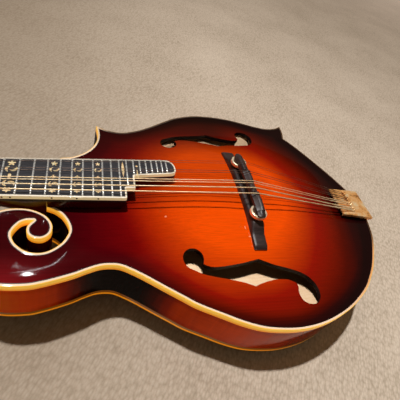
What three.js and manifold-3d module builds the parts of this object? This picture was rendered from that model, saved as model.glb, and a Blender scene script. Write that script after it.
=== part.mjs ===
import * as THREE from 'three';
import Module from 'manifold-3d';
import { mergeVertices } from 'three/addons/utils/BufferGeometryUtils.js';

// F-style mandolin in millimetres. x runs from the nut toward the tail, y toward the treble
// side, z up from the rim of the top plate. The whole is tilted at the end so that it rests.

const wasm = await Module();
wasm.setup();

// driving sizes
const scaleLength = 352.4;
const bodyLength = 359;
const bodyWidth = 250;
const rimDepth = 42;
const topArch = 13.6;
const backArch = 14.5;
const plateThickness = 4;
const ribThickness = 2.6;
const bindingWidth = 1.7;
const bindingHeight = 5.5;
const glueGap = 0.2;
const neckPitch = THREE.MathUtils.degToRad(4.85);
const headAngle = THREE.MathUtils.degToRad(14);
const boardHeightAtJoint = 13.3;
const nutWidth = 29;
const boardWidthAtEnd = 44.4;
const boardLength = 294;
const boardThickness = 5.6;
const boardBindingWidth = 1.3;
const fretHeight = 1;
const fretWidth = 1.1;
const headThickness = 14;
const veneerThickness = 1.6;
const headLength = 172;
const headWidth = 84;
const neckDepth = 15.5;
const bridgeLength = 114;
const bridgeWidth = 12;
const bridgeSetback = 4;
const bridgeSideStep = -3.5;
const saddleHeightAboveTop = 16;
const stringSpreadAtNut = 22.5;
const stringSpreadAtBridge = 39;
const tailPlateWidth = 37;
const tailPlateLength = 39;
const gearRadius = 5;
const wheelRadius = 7.4;

// counts
const fretCount = 29;
const jointFret = 15;
const fretsPerOctave = 12;
const stringsPerSide = 4;
const gearTeeth = 14;
const roundSides = 9;
const shaftSides = 6;
const stringSides = 5;
const archCellsAlong = 22;
const archCellsAcross = 15;
const archPower = 1.15;

// placing of the body on the neck line
const bridgeShare = 0.581;
const bodyStart = scaleLength + bridgeSetback - bridgeShare * bodyLength;
const seatShare = 0.134;
const seatX = bodyStart + seatShare * bodyLength;
const fretPosition = (n) => scaleLength * (1 - 2 ** (-n / fretsPerOctave));
const jointX = fretPosition(jointFret);
const nutZ = boardHeightAtJoint - jointX * Math.tan(neckPitch);
const bridgeX = bodyStart + bridgeShare * bodyLength;

// the closed line of the body, as shares of its length and width, corner to corner
const trebleShoulderShares = [
  [0.134, 0.09], [0.141, 0.122], [0.153, 0.138], [0.18, 0.15],
  [0.209, 0.181], [0.2295, 0.225], [0.2375, 0.276], [0.234, 0.334],
];
const trebleWaistShares = [
  [0.234, 0.334], [0.251, 0.32], [0.273, 0.3115], [0.297, 0.311], [0.32, 0.321],
  [0.354, 0.346], [0.389, 0.38], [0.425, 0.419], [0.4625, 0.456], [0.515, 0.488],
  [0.554, 0.501], [0.6145, 0.508], [0.666, 0.503], [0.716, 0.4895], [0.751, 0.4805],
  [0.787, 0.4775], [0.8245, 0.49], [0.854, 0.5135],
];
const lowerPointShares = [
  [0.854, 0.5135], [0.852, 0.468], [0.8425, 0.416],
];
const tailShares = [
  [0.8425, 0.416], [0.858, 0.392], [0.886, 0.338], [0.919, 0.264], [0.947, 0.198],
  [0.974, 0.124], [0.994, 0.056], [1, 0], [0.994, -0.06], [0.978, -0.14],
  [0.957, -0.2], [0.917, -0.283], [0.882, -0.3375], [0.847, -0.3815], [0.787, -0.433],
  [0.73, -0.466], [0.678, -0.485], [0.626, -0.4925], [0.58, -0.489], [0.539, -0.479],
  [0.5, -0.4595], [0.4635, -0.435], [0.416, -0.402], [0.389, -0.377], [0.354, -0.344],
  [0.32, -0.311], [0.296, -0.29], [0.275, -0.275], [0.2575, -0.271], [0.237, -0.273],
  [0.214, -0.284], [0.192, -0.297], [0.167, -0.3085], [0.137, -0.32], [0.1125, -0.3255],
  [0.074, -0.323], [0.045, -0.31], [0.0195, -0.284], [0.004, -0.246], [0, -0.202],
  [0.0085, -0.154], [0.028, -0.116], [0.053, -0.0945], [0.076, -0.084], [0.1015, -0.0845],
  [0.123, -0.096], [0.138, -0.113], [0.1475, -0.14], [0.1455, -0.168], [0.132, -0.185],
  [0.115, -0.183], [0.1045, -0.168], [0.1035, -0.145], [0.113, -0.124],
];
const scrollSlotShares = [
  [0.113, -0.124], [0.1, -0.126], [0.089, -0.137], [0.0795, -0.163], [0.081, -0.184],
  [0.0895, -0.205], [0.1065, -0.2245], [0.127, -0.2305], [0.146, -0.223], [0.1665, -0.198],
  [0.1775, -0.1655], [0.177, -0.139], [0.1655, -0.105], [0.15, -0.084], [0.134, -0.074],
];

const seatShares = [[0.134, -0.074], [0.134, 0.09]];

// one sound hole, as shares of the body, drawn on the bass side and mirrored for the treble
const soundHoleShares = [
  [0.4405, -0.28], [0.4545, -0.289], [0.476, -0.291], [0.5205, -0.284], [0.55, -0.276],
  [0.57, -0.27], [0.59, -0.28], [0.608, -0.289], [0.643, -0.301], [0.6765, -0.316],
  [0.6965, -0.336], [0.707, -0.362], [0.7075, -0.388], [0.7005, -0.406], [0.688, -0.4175],
  [0.6685, -0.416], [0.6555, -0.402], [0.652, -0.38], [0.655, -0.36], [0.6525, -0.349],
  [0.64, -0.3405], [0.627, -0.337], [0.599, -0.337], [0.568, -0.346], [0.5485, -0.355],
  [0.524, -0.342], [0.493, -0.331], [0.465, -0.322], [0.44, -0.312], [0.423, -0.3],
  [0.4065, -0.286], [0.399, -0.264], [0.4025, -0.242], [0.415, -0.23], [0.429, -0.232],
  [0.44, -0.246], [0.443, -0.264],
];

// head outline from the nut to its tip, as shares of its length and width
const headShares = [
  [0, 0.168], [0.03, 0.175], [0.075, 0.25], [0.12, 0.335], [0.17, 0.372], [0.3, 0.38],
  [0.45, 0.385], [0.6, 0.4], [0.69, 0.43], [0.74, 0.48], [0.79, 0.5], [0.84, 0.48],
  [0.86, 0.43], [0.84, 0.38], [0.8, 0.34], [0.815, 0.28], [0.86, 0.21], [0.91, 0.17],
  [0.96, 0.11], [1, 0.02], [0.985, -0.09], [0.94, -0.17], [0.9, -0.27], [0.84, -0.36],
  [0.76, -0.42], [0.7, -0.41], [0.6, -0.392], [0.45, -0.385], [0.3, -0.38],
  [0.17, -0.372], [0.12, -0.335], [0.075, -0.25], [0.03, -0.175], [0, -0.168],
];

// lines in the plan of the body

const mitreFloor = 0.45;
const sharpTurn = 1;
const keptShare = 0.97;
const lineTolerance = 0.42;
const splineSteps = 6;
const insetTolerance = 0.04;

function onBody([along, across]) {
  return new THREE.Vector2(bodyStart + along * bodyLength, across * bodyWidth);
}

function smoothLine(points) {
  const curve = new THREE.SplineCurve(points);
  return curve.getPoints(splineSteps * (points.length - 1));
}

// keeps the fewest points that stay within the tolerance of the finely drawn line
function thinned(points, tolerance) {
  const first = points[0];
  const last = points.at(-1);
  const chord = last.clone().sub(first);
  const length = chord.length();
  let widest = 0;
  let at = 0;
  points.forEach((point, i) => {
    const off = point.clone().sub(first);
    const distance = length > 0 ? Math.abs(chord.cross(off)) / length : off.length();
    if (distance > widest) {
      widest = distance;
      at = i;
    }
  });
  if (widest <= tolerance) return [first, last];
  const left = thinned(points.slice(0, at + 1), tolerance);
  return left.concat(thinned(points.slice(at), tolerance).slice(1));
}

function joinedLine(curves) {
  return curves.flatMap((shares) => {
    const points = thinned(smoothLine(shares.map(onBody)), lineTolerance);
    return points.slice(0, -1);
  });
}

function distanceToLine(point, line) {
  return Math.min(...line.map((start, i) => {
    const edge = line[(i + 1) % line.length].clone().sub(start);
    const offset = point.clone().sub(start);
    const along = THREE.MathUtils.clamp(offset.dot(edge) / edge.lengthSq(), 0, 1);
    return offset.sub(edge.multiplyScalar(along)).length();
  }));
}

// moves a closed line inward by a distance, round the tip of a sharp inner corner, and drops
// the corners that would cross over
function inset(line, distance) {
  const side = Math.sign(THREE.ShapeUtils.area(line));
  const normal = (start, end) => {
    const edge = end.clone().sub(start).normalize();
    return new THREE.Vector2(-edge.y, edge.x).multiplyScalar(side);
  };
  const moved = line.flatMap((point, i) => {
    const before = normal(line.at(i - 1), point);
    const after = normal(point, line[(i + 1) % line.length]);
    const mitre = before.clone().add(after);
    const closeness = mitre.dot(before);
    if (before.cross(after) * side < 0 && closeness < sharpTurn) {
      const ways = [before, mitre.normalize(), after];
      return ways.map((way) => way.multiplyScalar(distance).add(point));
    }
    return [mitre.multiplyScalar(distance / Math.max(closeness, mitreFloor)).add(point)];
  });
  const kept = moved.filter((point) => distanceToLine(point, line) > distance * keptShare);
  return thinned([...kept, kept[0]], insetTolerance).slice(0, -1);
}

function isInside(point, line) {
  let inside = false;
  line.forEach((start, i) => {
    const end = line[(i + 1) % line.length];
    if ((start.y > point.y) === (end.y > point.y)) return;
    const across = (point.y - start.y) / (end.y - start.y);
    if (point.x < start.x + across * (end.x - start.x)) inside = !inside;
  });
  return inside;
}

// closed solids, and the meshes made from them

function solidFrom(geometry) {
  const bare = new THREE.BufferGeometry();
  bare.setAttribute('position', geometry.getAttribute('position').clone());
  if (geometry.index) bare.setIndex(geometry.index.clone());
  const joined = mergeVertices(bare);
  return new wasm.Manifold(new wasm.Mesh({
    numProp: 3,
    vertProperties: new Float32Array(joined.getAttribute('position').array),
    triVerts: new Uint32Array(joined.index.array),
  }));
}

function moved(solid, matrix) {
  return solid.transform(matrix.elements);
}

function placed(x, y, z) {
  return new THREE.Matrix4().makeTranslation(x, y, z);
}

function prism(line, bottom, top) {
  const geometry = new THREE.ExtrudeGeometry(new THREE.Shape(line), {
    depth: top - bottom,
    bevelEnabled: false,
  });
  return moved(solidFrom(geometry), placed(0, 0, bottom));
}

function ring(outer, inner, bottom, top) {
  return prism(outer, bottom, top).subtract(prism(inner, bottom - glueGap, top + glueGap));
}

function block(xs, ys, zs) {
  const size = [xs, ys, zs].map(([low, high]) => high - low);
  const middle = [xs, ys, zs].map(([low, high]) => (low + high) / 2);
  return moved(solidFrom(new THREE.BoxGeometry(...size)), placed(...middle));
}

// a turned piece about the z axis from [radius, height] pairs that begin and end on the axis
function turned(profile, sides = roundSides) {
  const points = profile.map(([radius, height]) => new THREE.Vector2(radius, height));
  const geometry = new THREE.LatheGeometry(points, sides);
  geometry.rotateX(Math.PI / 2);
  return solidFrom(geometry);
}

function rod(radius, bottom, top, sides = roundSides) {
  return turned([[0, bottom], [radius, bottom], [radius, top], [0, top]], sides);
}

// a closed skin over equal closed sections, with flat ends
function loft(sections) {
  const count = sections[0].length;
  const positions = sections.flatMap((section) => section.flatMap((point) => point.toArray()));
  const faces = [];
  for (let s = 0; s + 1 < sections.length; s += 1) {
    for (let i = 0; i < count; i += 1) {
      const next = (i + 1) % count;
      const [a, b] = [s * count + i, s * count + next];
      faces.push(a, b, b + count, a, b + count, a + count);
    }
  }
  const end = (sections.length - 1) * count;
  for (let i = 1; i + 1 < count; i += 1) {
    faces.push(0, i + 1, i);
    faces.push(end, end + i, end + i + 1);
  }
  const geometry = new THREE.BufferGeometry();
  geometry.setAttribute('position', new THREE.Float32BufferAttribute(positions, 3));
  geometry.setIndex(faces);
  return outward(geometry);
}

// turns the faces over when the volume comes out negative
function outward(geometry) {
  const solid = solidFrom(geometry);
  if (solid.volume() > 0) return solid;
  const flipped = Array.from(geometry.index.array);
  for (let i = 0; i < flipped.length; i += 3) {
    [flipped[i + 1], flipped[i + 2]] = [flipped[i + 2], flipped[i + 1]];
  }
  geometry.setIndex(flipped);
  return solidFrom(geometry);
}

// the space between two surfaces z(x, y) over a rectangle, as a solid
function between(lower, upper, xs, ys, along, across) {
  const sections = [];
  for (let i = 0; i <= along; i += 1) {
    const x = xs[0] + (xs[1] - xs[0]) * i / along;
    const line = [];
    for (let j = 0; j <= across; j += 1) {
      line.push(ys[0] + (ys[1] - ys[0]) * j / across);
    }
    sections.push([line.map((y) => [x, y, upper(x, y)]), line.map((y) => [x, y, lower(x, y)])]);
  }
  const row = across + 1;
  const size = row * sections.length;
  const positions = [0, 1].flatMap((side) => sections.flatMap((pair) => pair[side].flat()));
  const faces = [];
  const quad = (a, b, c, d) => faces.push(a, b, c, a, c, d);
  for (let i = 0; i < along; i += 1) {
    for (let j = 0; j < across; j += 1) {
      const a = i * row + j;
      quad(a, a + row, a + row + 1, a + 1);
      quad(size + a, size + a + 1, size + a + row + 1, size + a + row);
    }
    const [start, end] = [i * row, i * row + across];
    quad(start, size + start, size + start + row, start + row);
    quad(end, end + row, size + end + row, size + end);
  }
  for (let j = 0; j < across; j += 1) {
    const last = along * row + j;
    quad(j, j + 1, size + j + 1, size + j);
    quad(last, size + last, size + last + 1, last + 1);
  }
  const geometry = new THREE.BufferGeometry();
  geometry.setAttribute('position', new THREE.Float32BufferAttribute(positions, 3));
  geometry.setIndex(faces);
  return outward(geometry);
}

function meshFrom(name, solid, look) {
  const { vertProperties, triVerts } = solid.getMesh();
  const geometry = new THREE.BufferGeometry();
  geometry.setAttribute('position', new THREE.BufferAttribute(vertProperties, 3));
  geometry.setIndex(new THREE.BufferAttribute(triVerts, 1));
  geometry.computeVertexNormals();
  const mesh = new THREE.Mesh(geometry, new THREE.MeshStandardMaterial(look));
  mesh.name = name;
  return mesh;
}

const looks = {
  top: { color: 0xd24a0a, roughness: 0.15, metalness: 0 },
  rib: { color: 0xa04408, roughness: 0.18, metalness: 0 },
  back: { color: 0x7a2408, roughness: 0.18, metalness: 0 },
  bareMaple: { color: 0xe2c08e, roughness: 0.7, metalness: 0 },
  bareSpruce: { color: 0xe8cf9f, roughness: 0.75, metalness: 0 },
  binding: { color: 0xe9cf8c, roughness: 0.35, metalness: 0 },
  neck: { color: 0x3a0d0c, roughness: 0.2, metalness: 0 },
  ebony: { color: 0x1c1a1e, roughness: 0.45, metalness: 0 },
  blackVeneer: { color: 0x0c0b0c, roughness: 0.12, metalness: 0 },
  bone: { color: 0xe8dfc6, roughness: 0.4, metalness: 0 },
  gold: { color: 0xb9914a, roughness: 0.35, metalness: 1 },
  brass: { color: 0xd8b878, roughness: 0.3, metalness: 1 },
  steel: { color: 0xb9b9b6, roughness: 0.35, metalness: 1 },
  bronze: { color: 0xc58f55, roughness: 0.4, metalness: 1 },
  pearl: { color: 0xe6ddc8, roughness: 0.25, metalness: 0 },
};

const part = new THREE.Group();
part.name = 'f_style_mandolin';
const body = new THREE.Group();
body.name = 'body_frame';
part.add(body);
const neckFrame = new THREE.Group();
neckFrame.name = 'neck_frame';
neckFrame.position.set(0, 0, nutZ);
neckFrame.rotation.y = -neckPitch;
body.add(neckFrame);
neckFrame.updateMatrix();
const toNeck = neckFrame.matrix.clone().invert();

// The body: two carved plates on a bent rim, with blocks, linings and bindings.

const bodyLine = joinedLine([
  trebleShoulderShares, trebleWaistShares, lowerPointShares, tailShares, scrollSlotShares,
  seatShares,
]);
const plateLine = inset(bodyLine, bindingWidth + glueGap);
const ribLine = inset(bodyLine, ribThickness);
const blockLine = inset(bodyLine, ribThickness + glueGap);
const liningWidth = 5;
const liningHeight = 6.5;
const onShares = (shares) => shares.map(onBody);
const headZoneShares = [
  [-0.05, -0.245], [0.04, -0.262], [0.09, -0.272], [0.15, -0.268], [0.2, -0.225],
  [0.225, -0.17], [0.235, -0.08], [0.235, 0.09], [0.215, 0.15], [0.2, 0.24],
  [0.1, 0.24], [0.05, 0], [-0.05, -0.05],
];
const headZone = onShares(headZoneShares);
const liningLine = inset(bodyLine, ribThickness + glueGap + liningWidth)
  .filter((point) => !isInside(point, headZone));

const archCentreShare = 0.57;
const archLeftShare = 0.41;
const archRightShare = 0.405;
const archAcrossShare = 0.456;
const archX = bodyStart + archCentreShare * bodyLength;

// a bell that falls from 1 over the middle of the plate to 0 near its edge
function archAt(x, y) {
  const half = (x < archX ? archLeftShare : archRightShare) * bodyLength;
  const reach = Math.min(Math.hypot((x - archX) / half, y / (archAcrossShare * bodyWidth)), 1);
  return (1 + Math.cos(Math.PI * reach ** archPower)) / 2;
}
const topZ = (x, y) => topArch * archAt(x, y);
const backZ = (x, y) => -rimDepth - backArch * archAt(x, y);

const plateXs = [bodyStart - bindingWidth, bodyStart + bodyLength + bindingWidth];
const plateMargin = 0.53;
const plateYs = [-plateMargin * bodyWidth, plateMargin * bodyWidth];
const farDown = -rimDepth - backArch - plateThickness;
const farUp = topArch + plateThickness;

function arched(lower, upper, line) {
  const sheet = between(lower, upper, plateXs, plateYs, archCellsAlong, archCellsAcross);
  return sheet.intersect(prism(line, farDown, farUp));
}

const soundHole = soundHoleShares.map(onBody);
const mirrored = (line) => line.map((point) => new THREE.Vector2(point.x, -point.y)).reverse();
const topPlate = arched((x, y) => topZ(x, y) - plateThickness, topZ, plateLine)
  .subtract(prism(soundHole, farDown, farUp))
  .subtract(prism(mirrored(soundHole), farDown, farUp));
const backPlate = arched(backZ, (x, y) => backZ(x, y) + plateThickness, plateLine);
body.add(meshFrom('top_plate', topPlate, looks.top));
body.add(meshFrom('back_plate', backPlate, looks.back));

// The bindings stand in a step around each plate and reach a little down the rim.
const bindingStep = inset(bodyLine, bindingWidth);
const bindingRing = (low, high) => ring(bodyLine, bindingStep, low, high);
body.add(meshFrom('top_binding', bindingRing(-bindingHeight, 0), looks.binding));
const backBindingTop = bindingHeight - rimDepth;
body.add(meshFrom('back_binding', bindingRing(-rimDepth, backBindingTop), looks.binding));

const rimTop = -plateThickness - glueGap;
const rimBottom = plateThickness + glueGap - rimDepth;
const tenonDepth = 15;
const tenonRootWidth = 20;
const tenonEndWidth = 26;
const tenonTop = -plateThickness - bindingHeight / 2;
const tenonBottom = bindingHeight - rimDepth;

function tenonShape(gap) {
  const root = tenonRootWidth / 2 + gap;
  const end = tenonEndWidth / 2 + gap;
  const start = seatX - ribThickness;
  const finish = seatX + tenonDepth + gap;
  return [[start, -root], [finish, -end], [finish, end], [start, root]]
    .map(([x, y]) => new THREE.Vector2(x, y));
}

const mortise = prism(tenonShape(glueGap), rimBottom - glueGap, rimTop + glueGap);
const pinRadius = 3;
const pinLength = 16;
const tailX = bodyStart + bodyLength;
const pinZShare = 0.5;
const pinZ = -rimDepth * pinZShare;
const alongX = new THREE.Matrix4().makeRotationY(Math.PI / 2);
const atTail = (x, y = 0, z = pinZ) => placed(x, y, z).multiply(alongX);
const screwRadius = 1.3;
const screwLength = 10;
const screwSpread = 15;
const screwYs = [-screwSpread / 2, screwSpread / 2];
const screwZ = -14;
const drilled = (radius, length) => screwYs.reduce(
  (sum, y) => sum.add(moved(rod(radius, -length, length, shaftSides), atTail(tailX, y, screwZ))),
  moved(rod(pinRadius + glueGap, -pinLength - glueGap, pinLength), atTail(tailX)),
);
const pinHole = drilled(screwRadius + glueGap, screwLength + glueGap);

const bindingCut = ring(bodyLine, inset(bodyLine, bindingWidth + glueGap),
  -bindingHeight - glueGap, 0)
  .add(ring(bodyLine, inset(bodyLine, bindingWidth + glueGap),
    -rimDepth, backBindingTop + glueGap));
const rim = ring(bodyLine, ribLine, rimBottom, rimTop)
  .subtract(bindingCut)
  .subtract(mortise)
  .subtract(pinHole);
body.add(meshFrom('rim', rim, looks.rib));

// Blocks fill the neck end with the scroll, the tail and the two points.
const upperPointZoneShares = [
  [0.222, 0.2], [0.262, 0.26], [0.28, 0.36], [0.2, 0.36], [0.2, 0.22],
];
const lowerPointZoneShares = [
  [0.775, 0.55], [0.79, 0.44], [0.83, 0.392], [0.875, 0.34], [0.92, 0.42], [0.9, 0.55],
];
const tailBlockDepth = 13;
const tailBlockEase = 9;
const tailBlockHalf = 35;
const tailBlockFlat = 20;
const tailZone = [
  [tailBlockDepth + tailBlockEase, -tailBlockHalf], [tailBlockDepth, -tailBlockFlat],
  [tailBlockDepth, tailBlockFlat], [tailBlockDepth + tailBlockEase, tailBlockHalf],
  [-ribThickness, tailBlockHalf], [-ribThickness, -tailBlockHalf],
].map(([inward, y]) => new THREE.Vector2(tailX - inward, y));

function blockFrom(zone, low, high) {
  return prism(blockLine, low, high).intersect(prism(zone, low, high));
}

const notchedTop = rimTop - liningHeight - glueGap * 2;
const notchedBottom = rimBottom + liningHeight + glueGap * 2;
body.add(meshFrom('head_block',
  blockFrom(headZone, rimBottom, rimTop).subtract(mortise), looks.bareMaple));
body.add(meshFrom('tail_block',
  blockFrom(tailZone, notchedBottom, notchedTop).subtract(pinHole), looks.bareMaple));
body.add(meshFrom('upper_point_block',
  blockFrom(onShares(upperPointZoneShares), notchedBottom, notchedTop), looks.bareMaple));
body.add(meshFrom('lower_point_block',
  blockFrom(onShares(lowerPointZoneShares), notchedBottom, notchedTop), looks.bareMaple));

// The linings widen the glued edge of the rim; they run on over the tail and point blocks.
function lining(low, high) {
  const zone = prism(headZone, low - glueGap, high + glueGap);
  const wider = [[glueGap, 0], [-glueGap, 0], [0, glueGap], [0, -glueGap]];
  const cut = wider.reduce((sum, [x, y]) => sum.add(moved(zone, placed(x, y, 0))), zone);
  return ring(blockLine, liningLine, low, high).subtract(cut);
}
body.add(meshFrom('top_lining', lining(rimTop - liningHeight, rimTop), looks.bareMaple));
body.add(meshFrom('back_lining', lining(rimBottom, rimBottom + liningHeight), looks.bareMaple));

// Two tone bars run under the top plate on either side of the bridge.
const toneBarWidth = 6;
const toneBarHeight = 9;
const toneBarStartShare = 0.3;
const toneBarEndShare = 0.88;
const toneBarNearShare = 0.07;
const toneBarFarShare = 0.11;
const toneBarCells = 9;

function toneBar(side) {
  const xs = [toneBarStartShare, toneBarEndShare].map((share) => bodyStart + share * bodyLength);
  const sections = [];
  for (let i = 0; i <= toneBarCells; i += 1) {
    const t = i / toneBarCells;
    const x = THREE.MathUtils.lerp(xs[0], xs[1], t);
    const y = side * bodyWidth * THREE.MathUtils.lerp(toneBarNearShare, toneBarFarShare, t);
    const edges = [y - toneBarWidth / 2, y + toneBarWidth / 2];
    const top = Math.min(topZ(x, edges[0]), topZ(x, edges[1])) - plateThickness - glueGap;
    const height = toneBarHeight * (1 + Math.sin(Math.PI * t)) / 2;
    sections.push([[edges[0], top - height], [edges[1], top - height], [edges[1], top],
      [edges[0], top]].map(([across, up]) => new THREE.Vector3(x, across, up)));
  }
  return loft(sections);
}
body.add(meshFrom('tone_bar_treble', toneBar(1), looks.bareSpruce));
body.add(meshFrom('tone_bar_bass', toneBar(-1), looks.bareSpruce));

// The fingerboard carries its frets; past the last full fret only the treble half goes on.
const boardTop = 0;
const boardBottom = -boardThickness;
const fullBoardShare = 0.857;
const nubShare = 0.881;
const nubNearShare = -0.5;
const nubFarShare = 0.13;
const floridaShare = 0.27;
const endRoundShare = 0.955;
const endCornerShare = 0.75;
const boardHalfAt = (x) => THREE.MathUtils.lerp(nutWidth, boardWidthAtEnd, x / boardLength) / 2;

function boardShape(side, back) {
  const at = (share) => share * boardLength - side;
  const low = (x, share = -1) => share * boardHalfAt(x) + side;
  const fullX = at(fullBoardShare);
  const nubX = at(nubShare);
  const roundX = at(endRoundShare);
  const endX = at(1);
  const points = [
    [-back, -boardHalfAt(0) + side],
    [fullX, low(fullX)],
    [fullX, low(fullX, nubNearShare)],
    [nubX, low(nubX, nubNearShare)],
    [nubX, low(nubX, nubFarShare)],
    [roundX, low(roundX, floridaShare)],
    [endX, low(endX, floridaShare) + side],
    [endX, endCornerShare * boardHalfAt(endX) - side],
    [roundX, boardHalfAt(roundX) - side],
    [-back, boardHalfAt(0) - side],
  ];
  return points.map(([x, y]) => new THREE.Vector2(x, y));
}

const boardOuter = boardShape(0, 0);
const boardInner = boardShape(boardBindingWidth + glueGap, 0);
const frettedZone = prism(boardShape(boardBindingWidth + glueGap, 0), boardBottom, fretHeight);
const fretSink = 0.4;

function fret(n) {
  const x = fretPosition(n);
  const half = fretWidth / 2;
  const crown = fretWidth / 4;
  const profile = [[half, -fretSink], [half, fretHeight / 2], [crown, fretHeight],
    [-crown, fretHeight], [-half, fretHeight / 2], [-half, -fretSink]];
  const across = [-boardWidthAtEnd, boardWidthAtEnd].map((y) => profile
    .map(([along, up]) => new THREE.Vector3(x + along, y, up)));
  return loft(across).intersect(frettedZone);
}

let fretboard = prism(boardInner, boardBottom, boardTop);
for (let n = 1; n <= fretCount; n += 1) {
  fretboard = fretboard.add(fret(n));
}
neckFrame.add(meshFrom('fretboard', fretboard, looks.ebony));
const boardBinding = prism(boardOuter, boardBottom, boardTop)
  .subtract(prism(boardShape(boardBindingWidth, boardBindingWidth), boardBottom - glueGap, glueGap));
neckFrame.add(meshFrom('fretboard_binding', boardBinding, looks.binding));

// The nut stands on the end of the neck behind the fingerboard.
const nutLength = 4.5;
const nutHeight = 1.5;
const nutBack = -nutLength - glueGap;
neckFrame.add(meshFrom('nut', block([nutBack, -glueGap], [-nutWidth / 2, nutWidth / 2],
  [boardBottom + glueGap, nutHeight]), looks.bone));

// The neck: one piece with its head, the heel, the tenon and the slope under the board.
const neckSideInset = 0.6;
const neckSides = 10;
const heelStartShare = 0.78;
const neckStations = 16;
const extensionEndShare = 0.845;
const extensionX = extensionEndShare * boardLength;
const seatLocalX = seatX / Math.cos(neckPitch);
const heelDepth = nutZ + seatX * Math.tan(neckPitch) + rimDepth - boardThickness - 2 * glueGap;
const heelEase = 2.2;

function neckSection(x) {
  const half = boardHalfAt(Math.max(x, 0)) - neckSideInset;
  const heelRun = seatLocalX * (1 - heelStartShare);
  const t = THREE.MathUtils.clamp((x - seatLocalX * heelStartShare) / heelRun, 0, 1);
  const depth = THREE.MathUtils.lerp(neckDepth, heelDepth, t ** heelEase);
  const section = [];
  for (let i = 0; i <= neckSides; i += 1) {
    const angle = Math.PI * i / neckSides;
    const up = boardBottom - glueGap - depth * Math.sin(angle);
    section.push(new THREE.Vector3(x, half * Math.cos(angle), up));
  }
  return section;
}

const shaft = [];
for (let i = 0; i <= neckStations; i += 1) {
  const t = i / neckStations;
  const nearHeel = THREE.MathUtils.lerp(nutBack, seatLocalX + ribThickness, Math.sqrt(t));
  shaft.push(neckSection(nearHeel));
}
shaft.push(neckSection(extensionX));
const headFrame = new THREE.Group();
headFrame.name = 'head_frame';
const headDrop = 3.6;
headFrame.position.set(nutBack, 0, -headDrop);
headFrame.rotation.y = -headAngle;
neckFrame.add(headFrame);
headFrame.updateMatrix();

const headLine = thinned(smoothLine(headShares.map(([along, across]) => new THREE.Vector2(
  -along * headLength, across * headWidth,
))), lineTolerance);
const headRootLength = 9;
const headRoot = block([-headRootLength, headRootLength],
  [-nutWidth / 2 + neckSideInset, nutWidth / 2 - neckSideInset],
  [-veneerThickness - headThickness, -veneerThickness - glueGap]);
const headSlab = prism(headLine, -veneerThickness - headThickness, -veneerThickness - glueGap)
  .add(headRoot);

const neckTop = block([nutBack - glueGap, boardLength], [-boardWidthAtEnd, boardWidthAtEnd],
  [boardBottom - glueGap, headThickness]);
const overBody = block([seatX - glueGap, seatX + boardLength], [-bodyWidth, bodyWidth],
  [farDown * 2, glueGap * 2]);
const underSpan = [seatX - glueGap, seatX + boardLength / 2];
const topClear = 0.4;
const underCells = 12;
const underTop = between(() => farDown, (x, y) => topZ(x, y) + topClear, underSpan,
  [-boardWidthAtEnd, boardWidthAtEnd], underCells, underCells);
const tenon = prism(tenonShape(0), tenonBottom, tenonTop);
const floridaProp = 2.6;
const floridaEndShare = 0.97;
const floridaLow = floridaShare * boardHalfAt(boardLength) + boardBindingWidth;
const floridaHigh = boardHalfAt(extensionX) - neckSideInset;
const florida = block([extensionX - neckDepth, floridaEndShare * boardLength],
  [floridaLow, floridaHigh], [boardBottom - glueGap - floridaProp, boardBottom - glueGap]);

// the steel rod in the neck, in a channel that opens on the head
const rodRadius = 2;
const rodClear = 0.5;
const rodNutLength = 7;
const rodNutRadius = 3.2;
const rodAxisDepth = boardBottom - glueGap - rodNutRadius - rodClear * 2;
const rodEnd = seatLocalX * heelStartShare;
const rodStart = nutBack - rodNutLength;
const channel = block([rodStart - rodClear, rodEnd + rodClear],
  [-rodRadius - rodClear, rodRadius + rodClear],
  [rodAxisDepth - rodRadius - rodClear, boardTop])
  .add(block([rodStart - rodClear, nutBack + rodClear],
    [-rodNutRadius - rodClear, rodNutRadius + rodClear],
    [rodAxisDepth - rodNutRadius - rodClear, boardTop]));
const alongNeck = (x) => placed(x, 0, rodAxisDepth).multiply(alongX);
const trussRod = moved(rod(rodRadius, 0, rodEnd - rodStart), alongNeck(rodStart))
  .add(moved(rod(rodNutRadius, 0, rodNutLength, shaftSides), alongNeck(rodStart)));

const postHoleRadius = 3.4;
const postSpacing = 23;
const firstPost = 34;
const postLineShare = 0.19;
const posts = [];
for (const side of [1, -1]) {
  for (let i = 0; i < stringsPerSide; i += 1) {
    posts.push({ side, i, x: -firstPost - i * postSpacing, y: side * postLineShare * headWidth });
  }
}
const headBack = -veneerThickness - headThickness;
const postHoles = posts.map(({ x, y }) => moved(
  rod(postHoleRadius, headBack - glueGap, glueGap), placed(x, y, 0),
));
const holed = (solid) => postHoles.reduce((left, hole) => left.subtract(hole), solid);

const neck = loft(shaft)
  .add(florida)
  .subtract(neckTop)
  .add(moved(holed(headSlab), headFrame.matrix).subtract(neckTop))
  .subtract(moved(overBody.add(underTop), toNeck))
  .add(moved(tenon, toNeck))
  .subtract(channel);
neckFrame.add(meshFrom('neck', neck, looks.neck));
neckFrame.add(meshFrom('truss_rod', trussRod, looks.steel));

const pocket = moved(channel, headFrame.matrix.clone().invert());
const veneerEnd = -glueGap - veneerThickness * Math.sin(headAngle);
const veneerSpan = block([-headLength * 2, veneerEnd], [-headWidth, headWidth],
  [headBack, headThickness]);
const veneer = holed(prism(headLine, -veneerThickness, 0))
  .intersect(veneerSpan)
  .subtract(pocket);
headFrame.add(meshFrom('head_veneer', veneer, looks.blackVeneer));

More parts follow.
